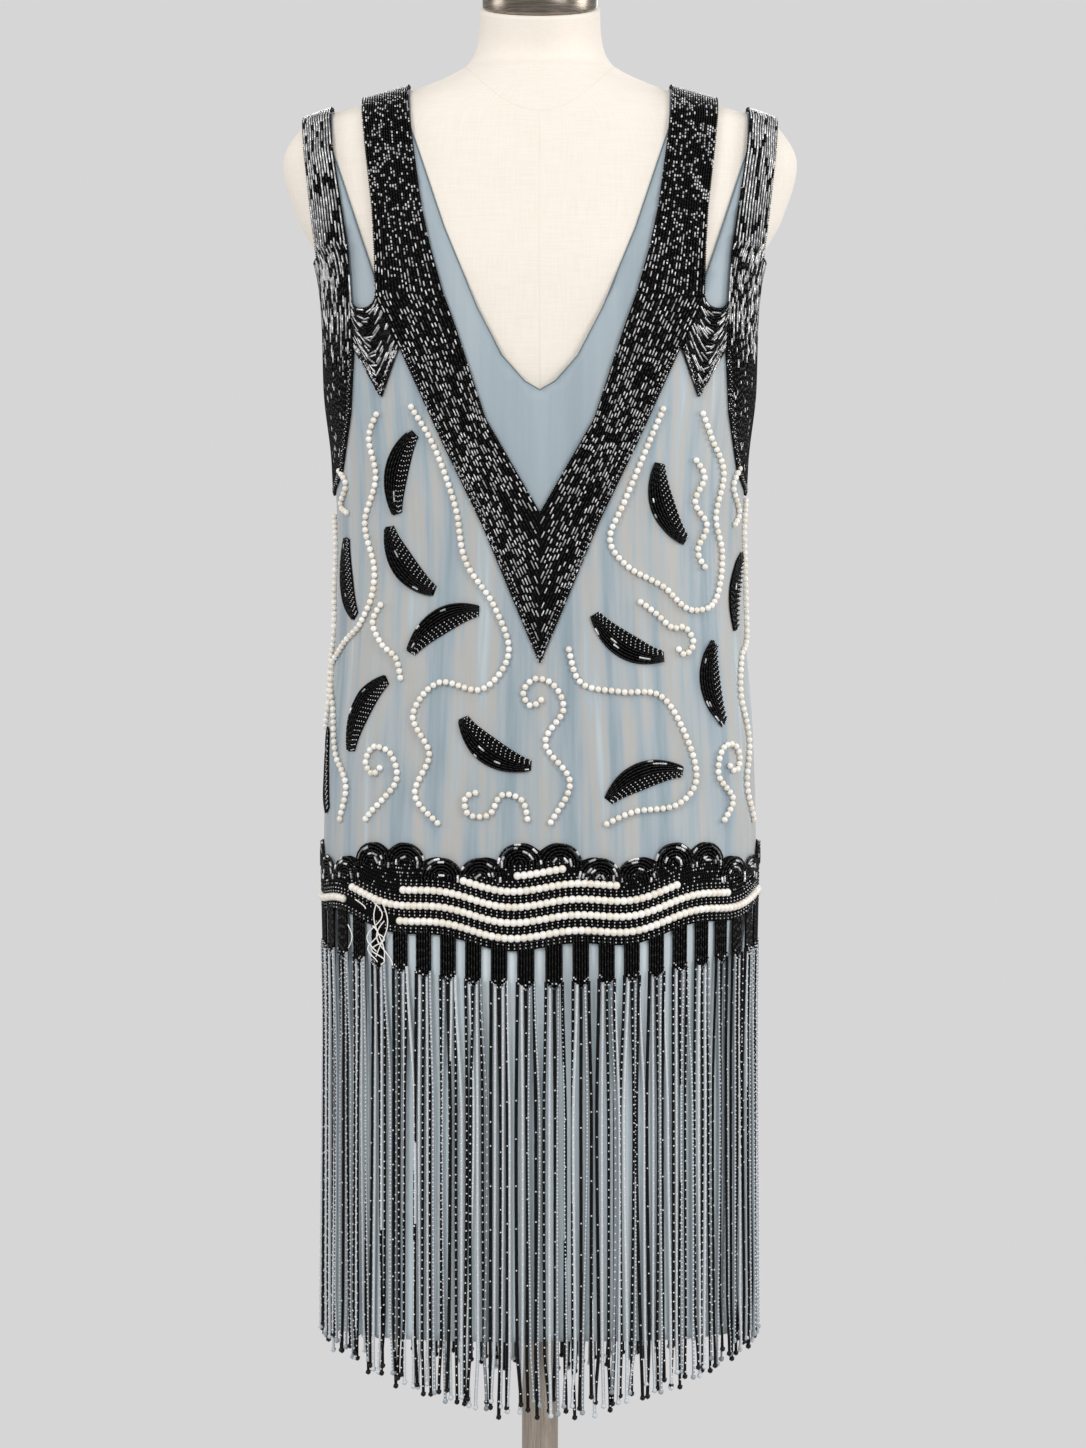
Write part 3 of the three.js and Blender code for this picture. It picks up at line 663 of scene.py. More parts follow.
for half_name, back in HALVES:
    neck = edge_run(SLIP_NECK, back, SLIP_OFFSET)
    slot_in = edge_run(SLIP_SLOT_IN, back, SLIP_OFFSET)
    slot_out = edge_run(SLIP_SLOT_OUT, back, SLIP_OFFSET)
    arm = edge_run(SLIP_ARM, back, SLIP_OFFSET)
    hem_level = level_of(HEM_HEIGHT)
    right = np.concatenate([
        neck, seam_run(neck[-1], slot_in[-1]), slot_in[::-1], slot_out,
        seam_run(slot_out[-1], arm[-1]), arm[::-1],
        seam_run(arm[0], (QUARTER, hem_level)), seam_run((QUARTER, hem_level), (0, hem_level))])
    outline = whole_outline(right)
    panel = cloth_panel(
        f"slip_{half_name}_cloth", outline, SLIP_STEP, back, SLIP_OFFSET, SLIP_THICK, slip_silk,
        SLIP_CREASES)
    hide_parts(f"slip_{half_name}")
    bound = []
    for mirror in (-1, 1):
        for edge in (neck, slot_in, slot_out, arm):
            line = on_cloth(edge[::3] * (mirror, 1), back, SLIP_OFFSET)
            bound.append(tube_mesh(*line, BINDING_RADIUS, 4))
    binding = mesh_piece(f"slip_{half_name}_binding", *join_meshes(bound), slip_binding)

# Over dress. Sheer blue-grey silk chiffon in a front and a back, streaked along the warp, hung from the yoke
# and sewn to the hem band. Strings of glass pearls wind over it, between raised crescents of black beads.
DRESS_OFFSET = 0.0021
DRESS_THICK = 0.0006
DRESS_TOP = np.array([(1000, 0), (1125, 70), (1208, 112)]) * MM
DRESS_BOTTOM = 0.770
DRESS_STEP = 0.0055
PEARL_RADIUS = 0.0025
PEARL_PITCH = 0.0053
PEARL_OFFSET = 0.0042
SEED_RADIUS = 0.0009
BUGLE_RADIUS = 0.00078
BEAD_OFFSET = 0.0042
BEAD_GAP = 0.0003
SEED_GAP = 0.0001
# Beads with a shade above the next value are painted highlights: glints painted pale grey to white, made
# finer by the slim factors below.
GLINT_FROM = 0.82
SLIM_BUGLE = (1.0, 0.5, 0.68)
SLIM_SEED = (0.72, 0.66, 0.7)
# Pearl strings: points by length along the cloth from its middle line and height, in mm.
VINES = [
    [(-131, 1138), (-143, 1116), (-138, 1085), (-150, 1050), (-140, 1010), (-150, 975), (-178, 955),
     (-200, 935), (-188, 905), (-178, 870), (-160, 845), (-168, 815)],
    [(-104, 1142), (-86, 1108), (-70, 1062), (-62, 1020), (-38, 985), (-25, 948), (-45, 920), (-80, 925),
     (-100, 900), (-85, 870), (-95, 838), (-74, 814)],
    [(-192, 1096), (-176, 1082), (-188, 1066), (-172, 1058)],
    [(-130, 990), (-140, 973), (-130, 955), (-117, 944), (-111, 924)],
    [(-44, 841), (-55, 836), (-52, 823), (-37, 823), (-28, 838), (-13, 834), (-8, 816)],
    [(-226, 1062), (-210, 1035), (-217, 1000), (-206, 968), (-224, 938), (-214, 912), (-226, 888)],
    [(-122, 862), (-131, 854), (-139, 863), (-132, 875), (-117, 870), (-111, 850), (-124, 832), (-140, 816)],
    [(4, 914), (-7, 907), (-13, 918), (-4, 928), (11, 923), (18, 904), (4, 878), (22, 848), (6, 814)],
    [(131, 1138), (144, 1116), (160, 1090), (152, 1055), (160, 1025), (150, 990), (124, 982), (100, 1000),
     (72, 1015), (58, 1036), (70, 1066), (84, 1100), (99, 1140)],
    [(226, 1075), (209, 1050), (216, 1018), (212, 988), (204, 960), (186, 945), (178, 915), (190, 880),
     (180, 845), (196, 814)],
    [(22, 955), (32, 925), (62, 918), (95, 915), (114, 885), (122, 850), (104, 830), (70, 825), (45, 814)],
    [(154, 862), (162, 856), (169, 866), (161, 877), (147, 872), (143, 852), (158, 834), (146, 816)],
    [(188, 1098), (175, 1080), (189, 1060), (177, 1048)],
    [(78, 990), (94, 979), (107, 968), (119, 968), (126, 956), (118, 947), (110, 954)],
    [(127, 1102), (138, 1086), (130, 1066), (141, 1048), (133, 1028), (141, 1012)],
]
# Crescents: length along the cloth from its middle line and height, in mm, and turn in degrees.
CRESCENTS = [
    (-119, 1090, 74), (-114, 1016, 128), (-178, 1006, 105), (-82, 972, 30), (-148, 904, 60),
    (-204, 856, 95), (-38, 872, 145), (102, 1062, 112), (182, 1000, 68), (68, 954, 150),
    (141, 924, 95), (78, 853, 20)]
CRESCENT_LENGTH = 0.068
CRESCENT_WIDTH = 0.021
CRESCENT_TIP = 0.008
CRESCENT_RADIUS = 0.062
CRESCENT_ROWS = 9
CRESCENT_SEED_ROWS = 4
CRESCENT_SEED = 0.0019
CRESCENT_BUGLES = (0.003, 0.006)
CRESCENT_BRIGHT = 0.05
CRESCENT_STEPS = 25
PAD_OFFSET = 0.003
PAD_SHARES = (0, 0.33, 0.67, 1)
DRESS_CREASES = np.array([
    (-212, 6, 800, 1040, 0.6, 9), (-196, -8, 830, 1100, -1.3, 7), (-168, 10, 795, 960, 0.6, 8),
    (-150, -6, 880, 1150, -1.2, 8), (-128, 8, 790, 930, -1.5, 7), (-112, -10, 930, 1120, 0.6, 9),
    (-90, 12, 800, 980, -1.3, 8), (-66, -6, 850, 1010, 0.6, 8), (-52, 8, 790, 900, -1.6, 7),
    (-28, -6, 800, 950, -1.2, 8), (-8, 4, 790, 920, 0.6, 9), (18, -8, 795, 930, -1.4, 7),
    (40, 10, 850, 980, -1.0, 8), (58, -8, 790, 910, 0.6, 8), (80, 8, 800, 1020, -1.4, 8),
    (104, -10, 900, 1080, -1.1, 9), (126, 6, 790, 900, 0.6, 8), (142, -8, 830, 1140, -1.3, 7),
    (166, 8, 795, 1000, -1.0, 8), (188, -6, 860, 1090, 0.6, 8), (206, 8, 795, 980, -1.4, 7)])


def dress_creases(back):
    """The dress's creases, mirrored on its back."""
    return DRESS_CREASES * ((-1, -1, 1, 1, 1, 1) if back else 1)


def prism_shape(sides):
    """A bead shape: a prism of unit half length along x and unit radius, as points and triangles."""
    turn = np.arange(sides) * 2 * math.pi / sides
    ring = np.stack([np.zeros(sides), np.cos(turn), np.sin(turn)], axis=1)
    points = np.concatenate([ring - (1, 0, 0), ring + (1, 0, 0)])
    k = np.arange(sides)
    after = (k + 1) % sides
    walls = np.concatenate([
        np.stack([k, after, after + sides], axis=1), np.stack([k, after + sides, k + sides], axis=1)])
    fan = np.arange(1, sides - 1)
    start = np.zeros_like(fan)
    ends = np.concatenate([
        np.stack([start, fan + 1, fan], axis=1), np.stack([start, fan, fan + 1], axis=1) + sides])
    return points, np.concatenate([walls, ends])


def ball_shape(divisions):
    """A bead shape: a ball of unit radius."""
    ball = bmesh.new()
    bmesh.ops.create_icosphere(ball, subdivisions=divisions, radius=1.0)
    points = np.array([tuple(vert.co) for vert in ball.verts])
    triangles = np.array([[vert.index for vert in face.verts] for face in ball.faces])
    ball.free()
    return points, triangles


BUGLE = prism_shape(4)
SEED = (
    np.array([(1, 0, 0), (-1, 0, 0), (0, 1, 0), (0, -1, 0), (0, 0, 1), (0, 0, -1)], float),
    np.array([(0, 2, 4), (2, 1, 4), (1, 3, 4), (3, 0, 4), (2, 0, 5), (1, 2, 5), (3, 1, 5), (0, 3, 5)]))
PEARL = ball_shape(2)


def string_row(points, normals, shortest, longest, gap, radius, random):
    """Beads strung end to end along a path: their middles, and frames scaled to half length and radius."""
    reach = np.concatenate([[0], np.cumsum(np.linalg.norm(np.diff(points, axis=0), axis=1))])
    count = int(reach[-1] / (shortest + gap)) + 1
    lengths = random.uniform(shortest, longest, count)
    ends = np.cumsum(lengths + gap)
    lengths, ends = lengths[ends <= reach[-1] + gap], ends[ends <= reach[-1] + gap]
    middles = ends - (lengths + gap) / 2 + (reach[-1] + gap - (ends[-1] if len(ends) else 0)) / 2

    def follow(values, places):
        return np.stack([np.interp(places, reach, values[:, axis]) for axis in range(3)], axis=1)

    centres = follow(points, middles)
    along = follow(points, middles + lengths / 2) - follow(points, middles - lengths / 2)
    along /= np.linalg.norm(along, axis=1, keepdims=True) + 1e-12
    across = np.cross(follow(normals, middles), along)
    across /= np.linalg.norm(across, axis=1, keepdims=True) + 1e-12
    upward = np.cross(along, across)
    frames = np.stack([along * lengths[:, None] / 2, across * radius, upward * radius], axis=2)
    return centres, frames


def bead_piece(name, groups, material):
    """One joined mesh of many beads: groups of a shape, and the beads' middles, frames and shades."""
    all_points, all_faces, all_shades, start = [], [], [], 0
    for (shape, faces), centres, frames, shades in groups:
        points = centres[:, None] + np.einsum("kij,nj->kni", frames, shape)
        offsets = start + np.arange(len(centres)) * len(shape)
        all_points.append(points.reshape(-1, 3))
        all_faces.append((faces[None] + offsets[:, None, None]).reshape(-1, 3))
        all_shades.append(np.repeat(shades, len(shape)))
        start += len(centres) * len(shape)
    points, faces = np.concatenate(all_points), np.concatenate(all_faces)
    mesh = bpy.data.meshes.new(name)
    mesh.vertices.add(len(points))
    mesh.vertices.foreach_set("co", points.astype(np.float32).ravel())
    mesh.loops.add(faces.size)
    mesh.loops.foreach_set("vertex_index", faces.astype(np.int32).ravel())
    mesh.polygons.add(len(faces))
    mesh.polygons.foreach_set("loop_start", np.arange(0, faces.size, 3, dtype=np.int32))
    mesh.polygons.foreach_set("use_smooth", np.ones(len(faces), bool))
    mesh.update(calc_edges=True)
    shade = mesh.attributes.new("shade", "FLOAT", "POINT")
    shade.data.foreach_set("value", np.concatenate(all_shades).astype(np.float32))
    mesh.materials.append(material)
    piece = bpy.data.objects.new(name, mesh)
    bpy.context.collection.objects.link(piece)
    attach(piece, "root")
    return piece


def glass_beads(name, stops, glint_from, roughness, gloss):
    """Small glass beads: each bead's own shade sets its colour, and the palest are painted highlights, pale
    grey to white with a touch of metal, that stand in for the glints of the beads.
    """
    material = new_material(name)
    shade = add_node(material, "ShaderNodeAttribute", attribute_name="shade")
    ramp = add_node(material, "ShaderNodeValToRGB", {"Fac": shade.outputs["Fac"]})
    set_ramp(ramp, stops)
    glint_metal = add_node(material, "ShaderNodeMapRange", {
        "Value": shade.outputs["Fac"], "From Min": glint_from, "From Max": glint_from + 0.04,
        "To Max": 0.3})
    add_node(material, "SHADER", {
        "Base Color": ramp.outputs["Color"], "Metallic": glint_metal.outputs["Result"], "Roughness": roughness,
        "Specular IOR Level": gloss})
    return material


def smooth_path(controls, step):
    """A flowing curve through control points, in about even steps."""
    controls = np.asarray(controls, float)
    ends = np.concatenate([[2 * controls[0] - controls[1]], controls, [2 * controls[-1] - controls[-2]]])
    runs = []
    for before, start, end, after in zip(ends, ends[1:], ends[2:], ends[3:]):
        t = np.linspace(0, 1, max(int(np.hypot(*(end - start)) / step), 2), endpoint=False)[:, None]
        bend = 2 * before - 5 * start + 4 * end - after
        twist = 3 * start - before - 3 * end + after
        runs.append(start + ((end - before) * t + bend * t ** 2 + twist * t ** 3) / 2)
    return np.concatenate(runs + [controls[-1:]])


def on_dress(along, height, back, offset):
    """Points and normals on the over dress, with its folds and creases."""
    place = place_of(along, back)
    sunk = fold_depth(place, height) + crease_depth(along, height, dress_creases(back))
    return cloth_points(place, height, offset - sunk)


def bead_shades(count, bright_share, random):
    """A shade for each bead: mostly near black, with a share of pale ones that are painted glints."""
    shades = random.uniform(0.0, 0.6, count)
    bright = random.random(count) < bright_share
    return np.where(bright, random.uniform(0.86, 1.0, count), shades)


def dotted_shades(count, random):
    """Shades of a row of faceted seed beads, by turns near black and pale, the pale ones painted glints."""
    shades = random.uniform(0.0, 0.5, count)
    shades[::2] = random.uniform(0.9, 1.0, len(shades[::2]))
    return shades


def slim_glints(frames, shades, longest, shortest, girth):
    """Bead frames with the painted glints made slimmer, and the palest of them shortest, like sparks."""
    length = np.interp(shades, (GLINT_FROM, 1.0), (longest, shortest))
    slim = np.stack([length, np.full_like(length, girth), np.full_like(length, girth)], axis=1)
    slim = np.where((shades > GLINT_FROM)[:, None], slim, 1.0)
    return frames * slim[:, None]


chiffon = woven_silk("blue-grey silk chiffon", [
    (0.27, "#84939c"), (0.42, "#9ba9b1"), (0.5, "#aab2b5"), (0.56, "#b5b3ae"), (0.62, "#aeb8bc"),
    (0.76, "#c9d0d2")], 20, 0.3, 0.55)
# Black glass: the ramp's pale end is painted highlight, the glints of the beads painted pale grey to white.
black_glass = glass_beads("black glass beads", [
    (0.0, "#030202"), (0.6, "#0c0a09"), (0.8, "#2a2522"), (0.86, "#a3a4a5"), (1.0, "#fafafa")],
    GLINT_FROM, 0.13, 0.22)
pearl_glass = glass_beads("ivory glass pearls", [(0.0, "#ece4d5"), (1.0, "#fcf9f3")], 2.0, 0.28, 0.5)
add_node(pearl_glass, "SHADER", {"Coat Weight": 0.35, "Coat Roughness": 0.2})
bead_ground = new_material("black bead ground cloth")
add_node(bead_ground, "SHADER", {
    "Base Color": linear("#080707"), "Roughness": 0.8, "Specular IOR Level": 0.1})

for half_name, back in HALVES:
    random = np.random.default_rng(11 + back)
    top = edge_run(DRESS_TOP, back, DRESS_OFFSET)
    shoulder = (QUARTER, level_of(DRESS_TOP[-1, 0]))
    low_side = (QUARTER, level_of(DRESS_BOTTOM))
    outline = whole_outline(np.concatenate([
        top, seam_run(top[-1], shoulder), seam_run(shoulder, low_side),
        seam_run(low_side, (0, level_of(DRESS_BOTTOM)))]))
    side = -1 if back else 1
    panel = cloth_panel(
        f"dress_{half_name}_cloth", outline, DRESS_STEP, back, DRESS_OFFSET, DRESS_THICK, chiffon,
        dress_creases(back))
    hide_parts(f"dress_{half_name}")

    pearls = []
    for vine in VINES:
        path = smooth_path(np.array(vine) * (side * MM, MM), 0.001)
        points, normals = on_dress(path[:, 0], path[:, 1], back, PEARL_OFFSET)
        centres, frames = string_row(
            points, normals, 2 * PEARL_RADIUS, 2 * PEARL_RADIUS, PEARL_PITCH - 2 * PEARL_RADIUS,
            PEARL_RADIUS, random)
        pearls.append((PEARL, centres, frames, random.random(len(centres))))
    pearl_piece = bead_piece(f"dress_{half_name}_pearls", pearls, pearl_glass)

    beads, pads = [], []
    for along, height, turn in CRESCENTS:
        t = np.linspace(-0.5, 0.5, CRESCENT_STEPS)
        bend = t * CRESCENT_LENGTH / CRESCENT_RADIUS
        width = CRESCENT_TIP + (CRESCENT_WIDTH - CRESCENT_TIP) * np.cos(t * math.pi)
        tilt = math.radians(turn)

        def across_crescent(share):
            """A line along the crescent, at a share from its inner to its outer edge."""
            reach = CRESCENT_RADIUS + width * (share - 0.5)
            x, y = reach * np.sin(bend), reach * np.cos(bend) - CRESCENT_RADIUS
            return (side * along * MM + x * math.cos(tilt) - y * math.sin(tilt),
                    height * MM + x * math.sin(tilt) + y * math.cos(tilt))

        for number in range(CRESCENT_ROWS):
            share = (number + 0.5) / CRESCENT_ROWS
            points, normals = on_dress(*across_crescent(share), back, BEAD_OFFSET)
            if number < CRESCENT_SEED_ROWS:
                middles, frames = string_row(
                    points, normals, CRESCENT_SEED, CRESCENT_SEED, SEED_GAP, SEED_RADIUS, random)
                shades = dotted_shades(len(middles), random)
                beads.append((SEED, middles, slim_glints(frames, shades, *SLIM_SEED), shades))
            else:
                row = string_row(points, normals, *CRESCENT_BUGLES, BEAD_GAP, BUGLE_RADIUS, random)
                beads.append((BUGLE, *row, bead_shades(len(row[0]), CRESCENT_BRIGHT, random)))
        rim = [on_dress(*across_crescent(share), back, PAD_OFFSET)[0] for share in PAD_SHARES]
        strip = np.arange(len(t) - 1)
        quads = [np.stack([strip, strip + 1, strip + 1 + len(t), strip + len(t)], axis=1) + k * len(t)
                 for k in range(len(PAD_SHARES) - 1)]
        pads.append((np.concatenate(rim), np.concatenate(quads)))
    crescent_beads = bead_piece(f"dress_{half_name}_crescents", beads, black_glass)
    crescent_pads = mesh_piece(f"dress_{half_name}_crescent_pads", *join_meshes(pads), bead_ground)

# Yoke. Black glass beads sewn in close rows on a dark ground: a V band that runs up as the inner straps,
# small pointed chevrons under the slots, narrow outer straps, and bands under the arms. Seed beads edge it.
YOKE_OFFSET = 0.0034
YOKE_THICK = 0.0006
ROW_PITCH = 0.0022
STRAP_ROWS = 12
SLOT_ROWS = 28
BAND_ROWS = 19
EDGE_INSET = 0.0001
V_INNER = [(1056, 0), (1129, 42.5), (1202, 66.5)]
V_OUTER = [(940, 0), (976, 15.5), (1047, 45), (1111, 76), (1186, 110)]
STRAP_HEIGHTS = (1228, 1264, 1296, 1346, 1392, 1440)
NECK_EDGE = list(zip(STRAP_HEIGHTS, (76, 86, 93, 100, 106, 108)))
SLOT_INNER = list(zip(STRAP_HEIGHTS, (129, 130, 132, 138, 143, 144)))
SLOT_OUTER = list(zip(STRAP_HEIGHTS, (149, 151, 156, 164, 169, 170)))
ARM_EDGE = list(zip(STRAP_HEIGHTS, (230, 177, 181, 187, 191, 192)))
CHEVRON_TIP = (1147, 124)
SIDE_EDGE = [(1050, 178), (1091, 156), (1137, 148.5), (1187, 146)]
SLOT_MIDDLE = (1228, 139)
SLOT_RADIUS = 10
STRAP_START = 1268
SIDE_BRIGHT = (1.17, 1.22)
SLIM_STRAP = (1.0, 1.0, 0.95)
SLIM_DOT = (0.75, 0.65, 0.85)
STRAP_LAP = 0.008
YOKE_STEP = 0.007
# Bugle beads of each zone: shortest and longest, and the share of painted highlights, beads painted pale as
# glints.
LOW_BUGLES = ((0.0035, 0.009), 0.6)
STRAP_BUGLES = ((0.0017, 0.0034), 0.33)
SLOT_BUGLES = ((0.004, 0.009), 0.4)
OUTER_BUGLES = ((0.005, 0.0105), 0.8)
BRIGHT_BUGLES = ((0.0045, 0.0095), 0.5)
DARK_BUGLES = ((0.003, 0.007), 0.12)
PLAIN_SEED_BRIGHT = 0.08


def trace(rows, back, offset):
    """A line through rows of height and x in millimetres, as lengths along and levels up the cloth."""
    rows = np.array(rows, float) * MM
    steps = np.hypot(*np.diff(rows, axis=0).T)
    reach = np.concatenate([[0], np.cumsum(steps)])
    even = np.linspace(0, reach[-1], max(int(reach[-1] / EDGE_STEP), 6))
    height = np.interp(even, reach, rows[:, 0])
    x = np.interp(even, reach, rows[:, 1])
    return np.stack([along_of(x, height, back, offset), level_of(height)], axis=1)


def resample(run, count):
    reach = np.concatenate([[0], np.cumsum(np.hypot(*np.diff(run, axis=0).T))])
    even = np.linspace(0, reach[-1], count)
    return np.stack([np.interp(even, reach, run[:, axis]) for axis in (0, 1)], axis=1)


def rows_between(first, last, count):
    """Rows that shift evenly from one line to another of the same number of points."""
    return [first + (last - first) * (k + 0.5) / count for k in range(count)]


def inset_line(run, inset):
    """A line moved sideways to its right by the inset."""
    way = np.gradient(run, axis=0)
    way /= np.hypot(*way.T)[:, None] + 1e-12
    return run + inset * np.stack([way[:, 1], -way[:, 0]], axis=1)


def bead_rows(rows, back, lengths, bright_share, random, slim=SLIM_BUGLE):
    """Bugle beads along rows on the cloth, and along the same rows mirrored to the other side."""
    groups = []
    for row in rows:
        for mirror in (-1, 1):
            points, normals = on_cloth(row * (mirror, 1), back, BEAD_OFFSET)
            middles, frames = string_row(points, normals, *lengths, BEAD_GAP, BUGLE_RADIUS, random)
            shades = bead_shades(len(middles), bright_share, random)
            groups.append((BUGLE, middles, slim_glints(frames, shades, *slim), shades))
    return groups


def seed_rows(rows, back, dotted, random, offset=BEAD_OFFSET):
    """Seed beads along rows on the cloth and along the same rows mirrored, every other bright if dotted."""
    groups = []
    for row in rows:
        for mirror in (-1, 1):
            points, normals = on_cloth(row * (mirror, 1), back, offset)
            middles, frames = string_row(
                points, normals, 2 * SEED_RADIUS, 2 * SEED_RADIUS, SEED_GAP, SEED_RADIUS, random)
            shades = (dotted_shades(len(middles), random) if dotted
                      else bead_shades(len(middles), PLAIN_SEED_BRIGHT, random))
            groups.append((SEED, middles, slim_glints(frames, shades, *SLIM_SEED), shades))
    return groups


for half_name, back in HALVES:
    random = np.random.default_rng(31 + back)
    v_inner = trace(V_INNER, back, YOKE_OFFSET)
    v_outer = trace(V_OUTER, back, YOKE_OFFSET)
    neck_join = trace([V_INNER[-1], NECK_EDGE[0]], back, YOKE_OFFSET)
    slot_join = trace([V_OUTER[-1], SLOT_INNER[0]], back, YOKE_OFFSET)
    neck = edge_run(np.array(NECK_EDGE) * MM, back, YOKE_OFFSET)
    slot_in = edge_run(np.array(SLOT_INNER) * MM, back, YOKE_OFFSET)
    slot_out = edge_run(np.array(SLOT_OUTER) * MM, back, YOKE_OFFSET)
    arm = edge_run(np.array(ARM_EDGE) * MM, back, YOKE_OFFSET)
    side_edge = edge_run(np.array(SIDE_EDGE) * MM, back, YOKE_OFFSET)
    turn = np.linspace(0, math.pi, 13)
    slot_round = trace(np.stack([
        SLOT_MIDDLE[0] - SLOT_RADIUS * np.sin(turn), SLOT_MIDDLE[1] - SLOT_RADIUS * np.cos(turn)], axis=1),
        back, YOKE_OFFSET)
    chevron = trace([V_OUTER[-1], CHEVRON_TIP, SIDE_EDGE[-1]], back, YOKE_OFFSET)
    right = np.concatenate([
        v_inner, neck_join, neck, seam_run(neck[-1], slot_in[-1]), slot_in[::-1], slot_round, slot_out,
        seam_run(slot_out[-1], arm[-1]), arm[::-1], seam_run(arm[0], side_edge[0]), side_edge,
        chevron[::-1], v_outer[::-1]])
    outline = whole_outline(right)
    ground = cloth_panel(
        f"yoke_{half_name}_ground", outline, YOKE_STEP, back, YOKE_OFFSET, YOKE_THICK, bead_ground)
    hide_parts(f"yoke_{half_name}")

    beads = []
    band_inner = np.concatenate([resample(v_inner, 70), resample(neck_join, 10), resample(neck, 60)])
    band_outer = np.concatenate([resample(v_outer, 70), resample(slot_join, 10), resample(slot_in, 60)])
    low_rows, strap_rows = [], []
    for row in rows_between(band_inner, band_outer, BAND_ROWS):
        split = random.integers(78, 96)
        low_rows.append(row[:split + 1])
        strap_rows.append(row[split:])
    beads += bead_rows(low_rows, back, *LOW_BUGLES, random)
    beads += bead_rows(strap_rows, back, *STRAP_BUGLES, random, SLIM_DOT)
    slot_rows = rows_between(resample(slot_round, 30), resample(chevron, 30), SLOT_ROWS)
    beads += bead_rows(slot_rows, back, *SLOT_BUGLES, random, SLIM_STRAP)
    strap_low = level_of(STRAP_START * MM)
    strap_in, strap_out = slot_out[slot_out[:, 1] > strap_low], arm[arm[:, 1] > strap_low]
    outer_rows = rows_between(resample(strap_in, 50), resample(strap_out, 50), STRAP_ROWS)
    beads += bead_rows(outer_rows, back, *OUTER_BUGLES, random, SLIM_STRAP)
    side_zone = np.concatenate([
        slot_out[slot_out[:, 1] <= strap_low + STRAP_LAP], arm[arm[:, 1] <= strap_low + STRAP_LAP][::-1],
        seam_run(arm[0], side_edge[0]), side_edge])
    # The side band's upper rows carry a larger share of painted glints than its lower rows.
    bright_rows, dark_rows = [], []
    for along in np.arange(side_zone[:, 0].min() + ROW_PITCH / 2, QUARTER, ROW_PITCH):
        levels = np.arange(side_zone[:, 1].min(), side_zone[:, 1].max(), 0.001)
        line = np.stack([np.full(levels.shape, along), levels], axis=1)
        line = line[inside_outline(line, side_zone)]
        upper = line[:, 1] > level_of(random.uniform(*SIDE_BRIGHT))
        for rows, part in ((bright_rows, line[upper]), (dark_rows, line[~upper])):
            if len(part) > 6:
                rows.append(part)
    beads += bead_rows(bright_rows, back, *BRIGHT_BUGLES, random, SLIM_STRAP)
    beads += bead_rows(dark_rows, back, *DARK_BUGLES, random)
    low_edges = [side_edge, chevron[::-1], v_outer[::-1]]
    edges = [v_inner, neck_join, neck, slot_in[::-1], slot_round, slot_out, arm[::-1], *low_edges]
    beads += seed_rows([inset_line(edge, EDGE_INSET) for edge in edges], back, False, random)
    for row in (1, 2):
        dotted = [inset_line(edge, EDGE_INSET + row * 2 * SEED_RADIUS) for edge in low_edges]
        beads += seed_rows(dotted, back, True, random, BEAD_OFFSET + SEED_RADIUS / 2)
    yoke_beads = bead_piece(f"yoke_{half_name}_beads", beads, black_glass)

# Hem band. Overlapping fans of black bugle beads along a scalloped top, and below them wavy rows of ivory
# pearls between rows of black seed beads, on a dark ground that joins the dress to its fringe. At the left
# of the front a worn spot has lost pearls of its lowest row, and loose white threads hang from it.
BAND_OFFSET = 0.0034
BAND_TOP = 0.791
TOP_WAVE = 0.008
SCALLOPS = 16
SCALLOP_RISE = 0.008
BAND_BOTTOM = 0.756
BOTTOM_DIP = 0.030
BOTTOM_WAVES = 5
BOTTOM_WAVE = 0.003
FAN_ARCS = 6
FAN_RADIUS = 0.0152
FAN_SINK = 0.012
FAN_LAP = 0.0007
FAN_LIFT = 0.0002
FAN_TURN = 1.9
FAN_STEPS = 21
FAN_BUGLES = (0.003, 0.006)
FAN_GIRTH = 1.3
FAN_BRIGHT = 0.2
BAND_STEPS = 289
PEARL_REACHES = (1.0, 0.66, 0.46, 0.25, 0.09, 0.0)
PEARL_ROW_PITCH = 0.0121
PEARL_ROW_LOW = 0.0036
BAND_PEARL_RADIUS = 0.0032
BAND_PEARL_PITCH = 0.0050
BAND_PEARL_OFFSET = 0.0046
BAND_SEED_RADIUS = 0.0012
BAND_SEED_PITCH = 0.0022
BAND_SEED_BRIGHT = 0.22
SEED_LINES = (-0.0014, 0.0012, 0.0047, 0.0074)
WORN_MIDDLE = -0.131
WORN_REACH = 0.021
THREAD_RADIUS = 0.00055
THREAD_OFFSET = 0.0060
THREAD_STEPS = 16
# Loose threads: x and height of the top, fall, sway to the side and its turn in radians.
LOOSE_THREADS = (
    (-0.1460, 0.7360, 0.018, 0.0030, 3.1), (-0.1400, 0.7560, 0.007, 0.0080, 1.4),
    (-0.1220, 0.7580, 0.049, -0.0040, 5.2), (-0.1205, 0.7560, 0.044, 0.0050, 4.1),
    (-0.1255, 0.7540, 0.038, 0.0060, 6.5), (-0.1180, 0.7400, 0.034, -0.0060, 4.6),
    (-0.1270, 0.7360, 0.028, 0.0040, 7.3), (-0.1230, 0.7300, 0.024, 0.0050, 9.0),
)


def middle_share(from_middle):
    """0 at the side seams and 1 at the middle of the front or back."""
    return 1 - np.sin(from_middle * math.pi / 2) ** 2


def band_line(from_middle):
    """Height of the band's top without its scallops."""
    return BAND_TOP + TOP_WAVE * np.cos(4 * math.pi * from_middle)


def band_top(from_middle):
    scallop = np.abs(np.sin((from_middle + 1) * SCALLOPS * math.pi / 2))
    return band_line(from_middle) + SCALLOP_RISE * (scallop - 0.5)


def band_bottom(from_middle):
    wave = BOTTOM_WAVE * np.sin(from_middle * BOTTOM_WAVES * math.pi)
    return BAND_BOTTOM - BOTTOM_DIP * middle_share(from_middle) + wave


def band_points(from_middle, height, back, offset):
    return cloth_points(from_middle + (2 if back else 0), height, offset)


